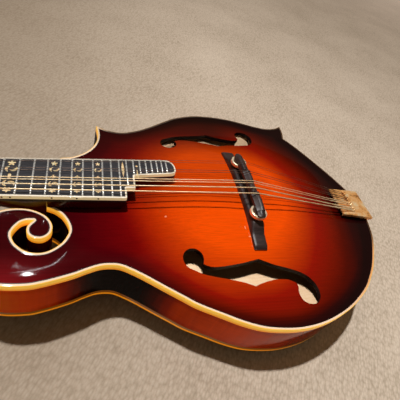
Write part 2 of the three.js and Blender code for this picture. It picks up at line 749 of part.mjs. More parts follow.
const coverShares = [
  [0, 0.5], [0.25, 0.5], [0.45, 0.38], [0.7, 0.34], [0.88, 0.2], [1, 0],
  [0.88, -0.2], [0.7, -0.34], [0.45, -0.38], [0.25, -0.5], [0, -0.5],
];
const coverLength = 27;
const coverWidth = 15;
const coverThickness = 1.4;
const coverStart = 2;
const coverLine = coverShares.map(([along, across]) => new THREE.Vector2(
  -coverStart - along * coverLength, across * coverWidth,
));
headFrame.add(meshFrom('truss_rod_cover',
  prism(coverLine, glueGap, coverThickness), looks.blackVeneer));

// Tuners: a plate on each side of the back of the head, posts with gears, and worm shafts.
const machinePlateThickness = 1.2;
const machinePlateWidth = 15;
const machinePlateOverhang = 12;
const gearThickness = 2.6;
const toothDepth = 0.9;
const wormRadius = 2.4;
const wormCore = 1.7;
const wormLength = 8.4;
const wormTurns = 2;
const wormSteps = 4;
const shaftRadius = 1.2;
const meshClear = 0.25;
const lugThickness = 1.4;
const lugLength = 5;
const shaftOffset = gearRadius + wormRadius + meshClear;
const plateFront = headBack - glueGap;
const plateBack = plateFront - machinePlateThickness;
const shaftZ = plateBack - wormRadius - meshClear;
const buttonLength = 14;
const buttonWidth = 11;
const buttonThickness = 6.5;
const buttonStem = 4;
const postRadius = 3;
const postNeck = 2.3;
const postHeight = 9.5;
const postHoleHeight = 5;
const postWaist = 1.6;
const headSideShare = 0.385;
const postY = postLineShare * headWidth;
const lugSpread = wormLength / 2 + lugThickness / 2 + meshClear;

function gear() {
  const line = [];
  for (let tooth = 0; tooth < gearTeeth; tooth += 1) {
    for (const [third, radius] of [[0, gearRadius], [1, gearRadius], [2, gearRadius - toothDepth]]) {
      const angle = 2 * Math.PI * (tooth + third / 3) / gearTeeth;
      line.push(new THREE.Vector2(radius * Math.cos(angle), radius * Math.sin(angle)));
    }
  }
  return prism(line, shaftZ - gearThickness / 2, shaftZ + gearThickness / 2);
}

const postSolid = turned([
  [0, shaftZ - gearThickness / 2], [postNeck, shaftZ - gearThickness / 2],
  [postNeck, headBack], [postRadius, headBack],
  [postRadius, postHoleHeight - postWaist], [postNeck, postHoleHeight],
  [postRadius, postHoleHeight + postWaist], [postRadius, postHeight - meshClear],
  [postRadius - meshClear, postHeight], [0, postHeight],
]).add(gear());

function wormShaft() {
  const profile = [[0, -wormLength / 2 - lugThickness * 2]];
  profile.push([shaftRadius, -wormLength / 2 - lugThickness * 2]);
  profile.push([shaftRadius, -wormLength / 2]);
  for (let turn = 0; turn < wormTurns; turn += 1) {
    const start = (turn / wormTurns - 1 / 2) * wormLength;
    const step = wormLength / wormTurns / wormSteps;
    profile.push([wormCore, start], [wormRadius, start + step], [wormRadius, start + step * 2],
      [wormCore, start + step * 3]);
  }
  const buttonStart = headWidth * headSideShare - postY + buttonStem;
  profile.push([wormCore, wormLength / 2], [shaftRadius, wormLength / 2]);
  profile.push([shaftRadius, buttonStart + buttonStem], [0, buttonStart + buttonStem]);
  const shaftSolid = turned(profile, shaftSides);
  const ball = new THREE.SphereGeometry(buttonLength / 2, roundSides, shaftSides);
  ball.scale(buttonThickness / buttonLength, buttonWidth / buttonLength, 1);
  const button = moved(solidFrom(ball), placed(0, 0, buttonStart + buttonLength / 2));
  return shaftSolid.add(button);
}

const wormSolid = wormShaft();

function machinePlate(side) {
  const first = -firstPost + shaftOffset + machinePlateOverhang;
  const last = -firstPost - (stringsPerSide - 1) * postSpacing - machinePlateOverhang;
  const y = side * postY;
  const half = machinePlateWidth / 2;
  let plate = block([last, first], [y - half, y + half], [plateBack, plateFront]);
  for (const post of posts.filter((each) => each.side === side)) {
    const shaftX = post.x + shaftOffset;
    for (const end of [-1, 1]) {
      const lugY = y + end * lugSpread;
      const lug = block([shaftX - lugLength / 2, shaftX + lugLength / 2],
        [lugY - lugThickness / 2, lugY + lugThickness / 2],
        [shaftZ - lugLength / 2, plateBack + glueGap]);
      const bore = moved(rod(shaftRadius + glueGap, -lugThickness, lugThickness, shaftSides),
        placed(shaftX, lugY, shaftZ).multiply(new THREE.Matrix4().makeRotationX(Math.PI / 2)));
      plate = plate.add(lug).subtract(bore);
    }
    plate = plate.subtract(moved(rod(postNeck + glueGap, plateBack - glueGap,
      plateFront + glueGap), placed(post.x, post.y, 0)));
  }
  return plate;
}

const sideName = (side) => (side > 0 ? 'treble' : 'bass');
for (const side of [1, -1]) {
  headFrame.add(meshFrom(`tuner_plate_${sideName(side)}`, machinePlate(side), looks.gold));
}
for (const post of posts) {
  const label = `${sideName(post.side)}_${post.i + 1}`;
  const postMesh = meshFrom(`string_post_${label}`, postSolid, looks.gold);
  postMesh.position.set(post.x, post.y, 0);
  headFrame.add(postMesh);
  const worm = meshFrom(`tuner_shaft_${label}`, wormSolid, looks.pearl);
  worm.position.set(post.x + shaftOffset, post.y, shaftZ);
  worm.rotation.x = -post.side * Math.PI / 2;
  headFrame.add(worm);
}

// The bridge: a base carved to the top, two threaded posts, two wheels and the saddle.
const bridgeY = bridgeSideStep;
const wheelSpacing = 60;
const wheelThickness = 3.4;
const bridgePostRadius = 1.6;
const baseEndThickness = 3;
const baseMidHeight = 5;
const baseMidShare = 0.3;
const baseSlopeShare = 0.4;
const baseCells = 20;
const baseCellsAlong = 2;
const saddleLength = 76;
const saddleWidth = 7;
const saddleCrest = 3;
const saddleEndHeight = 3.5;
const saddleTop = topArch + saddleHeightAboveTop;
const wheelLow = topArch + baseMidHeight + wheelThickness / 2;
const wheelHigh = wheelLow + wheelThickness;
const saddleLow = wheelHigh + glueGap;
const bridgeYs = [bridgeY - bridgeLength / 2, bridgeY + bridgeLength / 2];
const bridgeXs = [bridgeX - bridgeWidth / 2, bridgeX + bridgeWidth / 2];
const wheelYs = [bridgeY - wheelSpacing / 2, bridgeY + wheelSpacing / 2];

function baseTop(x, y) {
  const away = Math.abs(y - bridgeY) / bridgeLength;
  const t = THREE.MathUtils.smoothstep(away, baseMidShare, baseSlopeShare);
  const middle = topArch + baseMidHeight;
  return THREE.MathUtils.lerp(middle, topZ(x, y) + glueGap + baseEndThickness, t);
}

const bridgePost = (radius, y) => moved(
  rod(radius, baseMidHeight, saddleTop - saddleEndHeight), placed(bridgeX, y, 0),
);
function postFootAt(y) {
  return topZ(bridgeX, y) + baseEndThickness / 2;
}

let bridgeBase = between((x, y) => topZ(x, y) + glueGap, baseTop, bridgeXs, bridgeYs,
  baseCellsAlong, baseCells);
for (const y of wheelYs) {
  bridgeBase = bridgeBase.subtract(bridgePost(bridgePostRadius + glueGap, y)
    .intersect(block(bridgeXs, bridgeYs, [postFootAt(y) - glueGap, saddleTop])));
}
body.add(meshFrom('bridge_base', bridgeBase, looks.ebony));

const saddleFaceShares = [
  [-0.5, 0.3], [-0.47, 0], [-0.2, 0], [-0.16, 0.14], [0.16, 0.14], [0.2, 0], [0.47, 0],
  [0.5, 0.3], [0.46, 0.62], [0.38, 0.86], [0.27, 1], [-0.27, 1], [-0.38, 0.86], [-0.46, 0.62],
];
const saddleHeight = saddleTop - saddleLow;
const saddleProfile = saddleFaceShares.map(([across, up]) => new THREE.Vector2(
  bridgeY + across * saddleLength, saddleLow + up * saddleHeight,
));
const upright = new THREE.Matrix4().makeBasis(
  new THREE.Vector3(0, 1, 0), new THREE.Vector3(0, 0, 1), new THREE.Vector3(1, 0, 0),
);
const saddleSide = [
  [-saddleWidth / 2, saddleLow - glueGap], [saddleWidth / 2, saddleLow - glueGap],
  [saddleWidth / 2, saddleLow + saddleHeight / 2], [saddleCrest / 2, saddleTop + glueGap],
  [-saddleCrest / 2, saddleTop + glueGap], [-saddleWidth / 2, saddleLow + saddleHeight / 2],
].map(([along, up]) => new THREE.Vector2(along, -up));
const sideways = new THREE.Matrix4().makeRotationX(-Math.PI / 2);
let saddle = moved(prism(saddleProfile, -saddleWidth, saddleWidth), upright)
  .intersect(moved(prism(saddleSide, -saddleLength, saddleLength), sideways));
saddle = moved(saddle, placed(bridgeX, 0, 0));
const postClear = saddleEndHeight - glueGap;
for (const y of wheelYs) {
  saddle = saddle.subtract(moved(
    rod(bridgePostRadius + glueGap, saddleLow - glueGap, saddleTop - postClear),
    placed(bridgeX, y, 0),
  ));
}
body.add(meshFrom('bridge_saddle', saddle, looks.ebony));

const knurls = 18;
function wheel() {
  const line = [];
  for (let i = 0; i < knurls * 2; i += 1) {
    const radius = i % 2 ? wheelRadius - glueGap : wheelRadius;
    const angle = Math.PI * i / knurls;
    line.push(new THREE.Vector2(radius * Math.cos(angle), radius * Math.sin(angle)));
  }
  return prism(line, -wheelThickness / 2, wheelThickness / 2)
    .subtract(rod(bridgePostRadius + glueGap, -wheelThickness, wheelThickness));
}
const wheelSolid = wheel();
const threaded = [['bass', wheelYs[0]], ['treble', wheelYs[1]]];
for (const [name, y] of threaded) {
  const screw = moved(rod(bridgePostRadius, postFootAt(y), saddleTop - saddleEndHeight * 2),
    placed(bridgeX, y, 0));
  body.add(meshFrom(`bridge_post_${name}`, screw, looks.brass));
  const mesh = meshFrom(`thumbwheel_${name}`, wheelSolid, looks.brass);
  mesh.position.set(bridgeX, y, (wheelLow + wheelHigh) / 2);
  body.add(mesh);
}

// The tailpiece: one bent plate over the end of the body, with a hook for each string.
const tailSheet = 1.2;
const tailFrontZ = 7;
const tailRearZ = 5.2;
const tailDrop = 32;
const tailCorner = 3;
const hookRadius = 0.8;
const hookHeight = 2.4;
const hookBack = 24;
const tailFace = tailX + glueGap + glueGap;
const tailOuter = tailFace + tailSheet;
const tailFrontX = tailX - tailPlateLength;
const tailSide = [
  [tailFrontX, tailFrontZ], [tailX - tailCorner, tailRearZ], [tailOuter, tailRearZ - tailCorner],
  [tailOuter, -tailDrop], [tailFace, -tailDrop],
  [tailFace, tailRearZ - tailCorner - tailSheet / 2],
  [tailX - tailCorner - tailSheet / 2, tailRearZ - tailSheet], [tailFrontX, tailFrontZ - tailSheet],
].map(([along, up]) => new THREE.Vector2(along, -up));
const frontNarrowShare = 0.93;
const tabShare = 0.62;
const tailPlan = [
  [tailFrontX - glueGap, frontNarrowShare], [tailX - tailCorner, 1],
  [tailOuter + tailSheet, 1],
].flatMap(([x, share]) => [[x, share], [x, -share]])
  .map(([x, share]) => new THREE.Vector2(x, share * tailPlateWidth / 2));
const tailPlanLine = [tailPlan[0], tailPlan[2], tailPlan[4], tailPlan[5], tailPlan[3], tailPlan[1]];
const tailTab = block([tailFace - tailSheet, tailOuter + tailSheet],
  [-tailPlateWidth * tabShare / 2, tailPlateWidth * tabShare / 2], [-tailDrop * 2, -tailCorner]);
const tailWide = prism(tailPlanLine, -bindingHeight, tailFrontZ + tailSheet);
let tailpiece = moved(prism(tailSide, -bodyWidth, bodyWidth), sideways)
  .intersect(tailWide.add(tailTab))
  .subtract(pinHole);

const hookX = tailX - hookBack;
const plateZAt = (x) => THREE.MathUtils.mapLinear(
  x, tailFrontX, tailX - tailCorner, tailFrontZ, tailRearZ,
);

// where each string runs: across the nut, the saddle and the hooks
const courses = 4;
const thinnestString = 0.3;
const gaugeShares = [1, 1.4, 2.33, 3.5];
const pairAtNut = 2.1;
const pairAtBridge = 2.6;
const pairAtTail = 2.6;
const lowPairAtNut = 3.4;
const lowPairAtBridge = 6.4;
const stringSpreadAtTail = 24;
const hookFootZ = plateZAt(hookX);

const courseShare = (course) => 1 / 2 - course / (courses - 1);
const strings = [];
for (let course = 0; course < courses; course += 1) {
  for (const half of [1, -1]) {
    const place = (spread, pair) => courseShare(course) * (spread - pair) + half * pair / 2;
    const low = course === courses - 1;
    strings.push({
      number: strings.length + 1,
      course,
      radius: thinnestString * gaugeShares[course] / 2,
      nutY: place(stringSpreadAtNut, low ? lowPairAtNut : pairAtNut),
      bridgeY: place(stringSpreadAtBridge, low ? lowPairAtBridge : pairAtBridge),
      tailY: place(stringSpreadAtTail, pairAtTail),
    });
  }
}
for (const { tailY } of strings) {
  tailpiece = tailpiece.add(moved(
    rod(hookRadius, hookFootZ - tailSheet / 2, hookFootZ + hookHeight, shaftSides),
    placed(hookX, tailY, 0),
  ));
}
body.add(meshFrom('tailpiece', tailpiece, looks.gold));

// The strap pin goes through the tab and the rim into the tail block.
const pinHeadRadius = 6.5;
const pinHeadLength = 4;
const pinStemLength = 8;
const pinProfile = [
  [0, -pinLength], [pinRadius, -pinLength], [pinRadius, tailSheet * 2 - glueGap],
  [pinRadius + tailSheet, tailSheet * 2], [pinRadius, tailSheet + pinStemLength / 2],
  [pinRadius + tailSheet, pinStemLength], [pinHeadRadius, pinStemLength + tailSheet],
  [pinHeadRadius, pinStemLength + pinHeadLength], [0, pinStemLength + pinHeadLength],
];
const pinSides = 16;
body.add(meshFrom('end_pin', moved(turned(pinProfile, pinSides), atTail(tailX)), looks.gold));

// Two screws beside the pin hold the tab to the tail block.
const screwHead = 2.6;
const screwHeadHeight = 1.3;
const screwSeat = tailSheet + glueGap * 3;
const screwProfile = [
  [0, -screwLength], [screwRadius, -screwLength], [screwRadius, screwSeat],
  [screwHead, screwSeat], [screwHead, screwSeat + screwHeadHeight / 2],
  [screwHead / 2, screwSeat + screwHeadHeight], [0, screwSeat + screwHeadHeight],
];
for (const [i, name] of ['bass', 'treble'].entries()) {
  body.add(meshFrom(`tail_screw_${name}`,
    moved(turned(screwProfile), atTail(tailX, screwYs[i], screwZ)), looks.gold));
}

// Strings run whole from the post over the nut and the saddle to the hook.
function cord(points, radius) {
  const sections = points.map((point, i) => {
    const before = points[Math.max(i - 1, 0)];
    const after = points[Math.min(i + 1, points.length - 1)];
    const along = after.clone().sub(before).normalize();
    const across = new THREE.Vector3(0, 1, 0).cross(along).normalize();
    const third = along.clone().cross(across);
    const section = [];
    for (let k = 0; k < stringSides; k += 1) {
      const angle = 2 * Math.PI * k / stringSides;
      section.push(point.clone()
        .addScaledVector(across, radius * Math.cos(angle))
        .addScaledVector(third, radius * Math.sin(angle)));
    }
    return section;
  });
  return loft(sections);
}

const restGap = 0.12;
const headMatrix = neckFrame.matrix.clone().multiply(headFrame.matrix);
for (const string of strings) {
  const side = string.course < courses / 2 ? 1 : -1;
  const order = side > 0 ? string.number - 1 : 2 * stringsPerSide - string.number;
  const post = posts.find((each) => each.side === side && each.i === order);
  const lift = string.radius + restGap;
  const inner = post.y - side * (postNeck + lift + restGap);
  const postEnd = new THREE.Vector3(post.x, inner, postHoleHeight).applyMatrix4(headMatrix);
  const neckPoint = (x, y, z) => new THREE.Vector3(x, y, z).applyMatrix4(neckFrame.matrix);
  const nutRear = neckPoint(nutBack, string.nutY, nutHeight + lift - restGap);
  const nutFront = neckPoint(0, string.nutY, nutHeight + lift);
  const crest = saddleCrest / 2;
  const saddleLeft = new THREE.Vector3(bridgeX - crest, string.bridgeY, saddleTop + lift);
  const saddleRight = new THREE.Vector3(bridgeX + crest, string.bridgeY, saddleTop + lift);
  const hook = new THREE.Vector3(hookX - hookRadius - restGap * 2, string.tailY,
    hookFootZ + hookHeight / 2);
  const route = [postEnd, nutRear, nutFront, saddleLeft, saddleRight, hook];
  const look = string.course < courses / 2 ? looks.steel : looks.bronze;
  body.add(meshFrom(`string_${string.number}`, cord(route, string.radius), look));
}

// The part lies on its back: turn it until the head and the back arch touch the floor.
function lowest(names) {
  part.updateMatrixWorld(true);
  const box = new THREE.Box3();
  part.traverse((node) => {
    if (node.isMesh && names.test(node.name)) box.expandByObject(node, true);
  });
  return box.min.z;
}

const headEnd = /^(neck|head_veneer|tuner|string_post)/;
const turnSteps = 24;
let [lowTurn, highTurn] = [0, headAngle];
for (let step = 0; step < turnSteps; step += 1) {
  body.rotation.y = (lowTurn + highTurn) / 2;
  if (lowest(headEnd) < lowest(/^back_plate$/)) lowTurn = body.rotation.y;
  else highTurn = body.rotation.y;
}
part.updateMatrixWorld(true);
const bounds = new THREE.Box3().setFromObject(part, true);
body.position.set(-(bounds.min.x + bounds.max.x) / 2, -(bounds.min.y + bounds.max.y) / 2,
  -bounds.min.z);
part.updateMatrixWorld(true);

export default part;
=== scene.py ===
import math

import bpy
import numpy as np
from mathutils import Matrix, Vector
from mathutils.geometry import delaunay_2d_cdt


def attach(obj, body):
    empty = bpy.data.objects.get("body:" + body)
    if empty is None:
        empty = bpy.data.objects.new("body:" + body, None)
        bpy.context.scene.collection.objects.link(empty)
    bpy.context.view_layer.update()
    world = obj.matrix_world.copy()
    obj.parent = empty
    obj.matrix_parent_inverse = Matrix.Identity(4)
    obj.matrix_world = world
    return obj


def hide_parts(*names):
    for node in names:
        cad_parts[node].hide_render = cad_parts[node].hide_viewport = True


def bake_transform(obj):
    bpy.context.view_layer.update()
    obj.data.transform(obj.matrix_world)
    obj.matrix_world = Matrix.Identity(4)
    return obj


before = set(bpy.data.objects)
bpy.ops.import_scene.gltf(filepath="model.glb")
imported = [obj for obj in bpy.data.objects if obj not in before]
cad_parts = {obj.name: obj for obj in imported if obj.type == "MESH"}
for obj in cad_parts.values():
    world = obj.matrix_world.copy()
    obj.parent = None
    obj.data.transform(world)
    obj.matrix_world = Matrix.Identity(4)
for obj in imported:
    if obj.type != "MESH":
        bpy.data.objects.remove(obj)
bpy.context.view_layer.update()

# The instrument as a whole. Lengths are in millimetres, in a frame whose x runs from the nut
# to the tail, y to the treble side and z up from the rim; the body lies on its arched back,
# tipped by a small angle, and the neck and the head lean back from it.
BODY_LENGTH = 359
BODY_WIDTH = 250
SCALE_LENGTH = 352.4
BRIDGE_SHARE = 0.581
STRETCH_ALLOWANCE = 4
BODY_START = SCALE_LENGTH + STRETCH_ALLOWANCE - BRIDGE_SHARE * BODY_LENGTH
TAIL_X = BODY_START + BODY_LENGTH
REST_TILT = math.radians(2.4034770727)
REST_SHIFT = np.array([-173.95651, -2.625, 71.53189])
NECK_PITCH = math.radians(4.85)
HEAD_ANGLE = math.radians(14)
BOARD_HEIGHT_AT_JOINT = 13.3
JOINT_X = SCALE_LENGTH * (1 - 2 ** (-15 / 12))
NUT_Z = BOARD_HEIGHT_AT_JOINT - JOINT_X * math.tan(NECK_PITCH)
NUT_BACK = -4.7
HEAD_STEP = -3.6
METRES = 0.001


def tilted(angle, shift):
    """4 x 4 matrix: a turn about y by the angle, then a shift."""
    matrix = np.eye(4)
    matrix[0, 0] = matrix[2, 2] = math.cos(angle)
    matrix[0, 2] = math.sin(angle)
    matrix[2, 0] = -math.sin(angle)
    matrix[:3, 3] = shift
    return matrix


BODY = tilted(REST_TILT, REST_SHIFT)
HEAD_IN_NECK = tilted(-HEAD_ANGLE, (NUT_BACK, 0, HEAD_STEP))
NECK = BODY @ tilted(-NECK_PITCH, (0, 0, NUT_Z))
HEAD = NECK @ HEAD_IN_NECK


def moved(points, matrix):
    """Points turned and shifted by a 4 x 4 matrix."""
    return np.asarray(points, float) @ matrix[:3, :3].T + matrix[:3, 3]


def standing(points, place=BODY):
    """Points of a frame in metres where the whole instrument lies."""
    return moved(points, place) * METRES


# The rim: two strips of curly maple bent hot round a form, closed on blocks at the neck, the
# tail and the points. It is stained from amber in the bouts to black at the waist and the
# tail, and lacquered; inside the wood is bare.
BINDING_WIDTH = 1.7
BINDING_HEIGHT = 5.5
RIM_DEPTH = 42
RIB_THICKNESS = 2.6
PLATE_THICKNESS = 4
GLUE_GAP = 0.2
SPLINE_STEPS = 8
FAN_STEPS = 8
SHARP_TURN = 0.9
SHOULDER_SHARES = [
    [0.134, 0.09], [0.141, 0.122], [0.153, 0.138], [0.18, 0.15],
    [0.209, 0.181], [0.2295, 0.225], [0.2375, 0.276], [0.234, 0.334],
]
WAIST_SHARES = [
    [0.234, 0.334], [0.251, 0.32], [0.273, 0.3115], [0.297, 0.311], [0.32, 0.321],
    [0.354, 0.346], [0.389, 0.38], [0.425, 0.419], [0.4625, 0.456], [0.515, 0.488],
    [0.554, 0.501], [0.6145, 0.508], [0.666, 0.503], [0.716, 0.4895], [0.751, 0.4805],
    [0.787, 0.4775], [0.8245, 0.49], [0.854, 0.5135],
]
LOWER_POINT_SHARES = [[0.854, 0.5135], [0.852, 0.468], [0.8425, 0.416]]
TAIL_SHARES = [
    [0.8425, 0.416], [0.858, 0.392], [0.886, 0.338], [0.919, 0.264], [0.947, 0.198],
    [0.974, 0.124], [0.994, 0.056], [1, 0], [0.994, -0.06], [0.978, -0.14],
    [0.957, -0.2], [0.917, -0.283], [0.882, -0.3375], [0.847, -0.3815], [0.787, -0.433],
    [0.73, -0.466], [0.678, -0.485], [0.626, -0.4925], [0.58, -0.489], [0.539, -0.479],
    [0.5, -0.4595], [0.4635, -0.435], [0.416, -0.402], [0.389, -0.377], [0.354, -0.344],
    [0.32, -0.311], [0.296, -0.29], [0.275, -0.275], [0.2575, -0.271], [0.237, -0.273],
    [0.214, -0.284], [0.192, -0.297], [0.167, -0.3085], [0.137, -0.32], [0.1125, -0.3255],
    [0.074, -0.323], [0.045, -0.31], [0.0195, -0.284], [0.004, -0.246], [0, -0.202],
    [0.0085, -0.154], [0.028, -0.116], [0.053, -0.0945], [0.076, -0.084], [0.1015, -0.0845],
    [0.123, -0.096], [0.138, -0.113], [0.1475, -0.14], [0.1455, -0.168], [0.132, -0.185],
    [0.115, -0.183], [0.1045, -0.168], [0.1035, -0.145], [0.113, -0.124],
]
SLOT_SHARES = [
    [0.113, -0.124], [0.1, -0.126], [0.089, -0.137], [0.0795, -0.163], [0.081, -0.184],
    [0.0895, -0.205], [0.1065, -0.2245], [0.127, -0.2305], [0.146, -0.223], [0.1665, -0.198],
    [0.1775, -0.1655], [0.177, -0.139], [0.1655, -0.105], [0.15, -0.084], [0.134, -0.074],
]
SEAT_SHARES = [[0.134, -0.074], [0.134, 0.09]]


def on_body(shares):
    """Shares of the body's length and width as millimetres in its plan."""
    return np.asarray(shares, float) * (BODY_LENGTH, BODY_WIDTH) + (BODY_START, 0)


def spline(points, steps=SPLINE_STEPS):
    """A smooth line through the points, without its last one: on each span the cubic whose
    slope at either end is half the step between that end's two neighbours."""
    points = np.asarray(points, float)
    start, end = points[:-1], points[1:]
    before = np.vstack([points[:1], points[:-2]])
    after = np.vstack([points[2:], points[-1:]])
    leave, arrive = (end - before) / 2, (after - start) / 2
    t = (np.arange(steps) / steps)[None, :, None]
    start, end, leave, arrive = (each[:, None, :] for each in (start, end, leave, arrive))
    line = ((2 * start - 2 * end + leave + arrive) * t**3
            + (3 * end - 3 * start - 2 * leave - arrive) * t**2 + leave * t + start)
    return line.reshape(-1, points.shape[1])


def unit(vectors):
    """Vectors brought to length 1."""
    return vectors / np.maximum(np.linalg.norm(vectors, axis=-1, keepdims=True), 1e-9)


def normals_of(line):
    """Unit normals of the edges before and after each point of a closed clockwise line,
    pointing into it."""
    edge = unit(np.roll(line, -1, 0) - line)
    after = np.column_stack([edge[:, 1], -edge[:, 0]])
    return np.roll(after, 1, 0), after


class Outline:
    """A closed line in plan that can be moved inward. At the tip of a notch the moved line
    goes round in an arc, and beside a sharp outer corner its points gather at the mitre."""

    def __init__(self, line):
        before, after = normals_of(line)
        turning = before[:, 0] * after[:, 1] - before[:, 1] * after[:, 0]
        facing = (before * after).sum(1)
        spikes = np.flatnonzero((turning > 0) & (facing < 1 - SHARP_TURN)).tolist()
        mitre = (before + after) / np.maximum(1 + facing, 0.1)[:, None]
        fans = []
        for spike in spikes:
            start = math.atan2(before[spike, 1], before[spike, 0])
            swing = math.acos(np.clip(facing[spike], -1, 1))
            angles = start + swing * np.arange(FAN_STEPS + 1) / FAN_STEPS
            fans.append(np.column_stack([np.cos(angles), np.sin(angles)]))
        for spike, fan in sorted(zip(spikes, fans), key=lambda pair: -pair[0]):
            line = np.vstack([line[:spike], np.repeat(line[spike:spike + 1], len(fan), 0),
                              line[spike + 1:]])
            mitre = np.vstack([mitre[:spike], fan, mitre[spike + 1:]])
            keep = np.full(len(fan), 1.0)
            turning = np.concatenate([turning[:spike], keep, turning[spike + 1:]])
            facing = np.concatenate([facing[:spike], keep, facing[spike + 1:]])
        self.line, self.mitre = line, mitre
        steps = np.linalg.norm(np.diff(line, axis=0, append=line[:1]), axis=1)
        self.length = steps.sum()
        self.along = np.concatenate([[0], np.cumsum(steps)[:-1]])
        self.corners = [(i, math.tan(math.acos(np.clip(facing[i], -1, 1)) / 2))
                        for i in np.flatnonzero((turning < 0) & (facing < SHARP_TURN))]

    def inward(self, distance):
        """The line moved inward by the distance."""
        moved = self.line + self.mitre * distance
        for corner, spread in self.corners:
            gap = np.abs(self.along - self.along[corner])
            gap = np.minimum(gap, self.length - gap)
            moved[gap < distance * spread] = moved[corner]
        return moved


OUTLINE = Outline(np.vstack([spline(on_body(shares)) for shares in (
    SHOULDER_SHARES, WAIST_SHARES, LOWER_POINT_SHARES, TAIL_SHARES, SLOT_SHARES)]
    + [spline(on_body(SEAT_SHARES), SPLINE_STEPS * 2)]))


def quads(rows, columns, closed=False):
    """Faces of a grid of points numbered row by row. Each row is a ring; where closed, the
    last row joins the first."""
    i = np.arange(rows if closed else rows - 1)[:, None]
    j = np.arange(columns)[None, :]
    down, right = (i + 1) % rows, (j + 1) % columns
    faces = [i * columns + j, i * columns + right, down * columns + right, down * columns + j]
    return np.stack([np.broadcast_to(face, np.broadcast(i, j).shape) for face in faces],
                    -1).reshape(-1, 4)


def piece(name, points, faces, finishes, body="mandolin", slot=None, replaces=(),
          inks=None, traits=None, crease=35, place=BODY, bevel=0):
    """A mesh in its place, with its finishes, the body that it rides on and the solids that it
    stands for; its slot argument is not used. Faces that turn inside out are set right by the
    sign of the enclosed volume; inks are finish numbers of the faces, and traits are named
    values of the points."""
    mesh = bpy.data.meshes.new(name)
    mesh.from_pydata(standing(points, place).tolist(), [], [list(face) for face in faces])
    mesh.update()
    for finish in finishes if isinstance(finishes, (list, tuple)) else [finishes]:
        mesh.materials.append(finish.material)
    if inks is not None:
        mesh.polygons.foreach_set("material_index", np.asarray(inks, np.int32))
    for trait, values in (traits or {}).items():
        layer = mesh.attributes.new(trait, "FLOAT", "POINT")
        layer.data.foreach_set("value", np.asarray(values, np.float32))
    mesh.polygons.foreach_set("use_smooth", np.ones(len(mesh.polygons), bool))
    mesh.calc_loop_triangles()
    corners = np.zeros(len(mesh.loop_triangles) * 3, np.int32)
    mesh.loop_triangles.foreach_get("vertices", corners)
    where = np.zeros(len(mesh.vertices) * 3, np.float32)
    mesh.vertices.foreach_get("co", where)
    a, b, c = where.reshape(-1, 3)[corners].reshape(-1, 3, 3).transpose(1, 0, 2)
    middle = where.reshape(-1, 3).mean(0)
    if np.einsum("ij,ij->", a - middle, np.cross(b - middle, c - middle)) < 0:
        mesh.flip_normals()
    mesh.set_sharp_from_angle(angle=math.radians(crease))
    thing = bpy.data.objects.new(name, mesh)
    bpy.context.scene.collection.objects.link(thing)
    if body:
        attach(thing, body)
    if bevel:
        rounding = thing.modifiers.new("rounding", "BEVEL")
        rounding.width, rounding.segments = bevel * METRES, 2
        rounding.limit_method, rounding.angle_limit = "ANGLE", math.radians(60)
    if replaces:
        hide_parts(*replaces)
    return thing


class Wire:
    """A value on its way between nodes; arithmetic on it adds Math nodes."""

    def __init__(self, finish, socket):
        self.finish, self.socket = finish, socket

    def math(self, operation, *values, **settings):
        """A Math node of this operation on the values."""
        return self.finish.add("Math", dict(operation=operation, **settings),
                               dict(enumerate(values)))

    def __add__(self, other):
        return self.math("ADD", self, other)

    def __radd__(self, other):
        return self.math("ADD", other, self)

    def __sub__(self, other):
        return self.math("SUBTRACT", self, other)

    def __rsub__(self, other):
        return self.math("SUBTRACT", other, self)

    def __mul__(self, other):
        return self.math("MULTIPLY", self, other)

    def __rmul__(self, other):
        return self.math("MULTIPLY", other, self)

    def __truediv__(self, other):
        return self.math("DIVIDE", self, other)

    def __pow__(self, other):
        return self.math("POWER", self, other)

    def clamped(self):
        """The value kept from 0 to 1."""
        return self.math("ADD", self, 0, use_clamp=True)

    def sine(self):
        """The sine of the value."""
        return self.math("SINE", self)

    def away(self):
        """The value without its sign."""
        return self.math("ABSOLUTE", self)

    def rise(self, low, high):
        """0 below low, 1 above high, with a soft step between them."""
        return self.finish.add("MapRange", dict(interpolation_type="SMOOTHSTEP"),
                               {0: self, 1: low, 2: high, 3: 0, 4: 1})


def tint(code):
    """A colour code of six hex digits as linear red, green, blue and a full alpha."""
    parts = [int(code[i:i + 2], 16) / 255 for i in (1, 3, 5)]
    return tuple(c / 12.92 if c <= 0.04045 else ((c + 0.055) / 1.055) ** 2.4
                 for c in parts) + (1,)


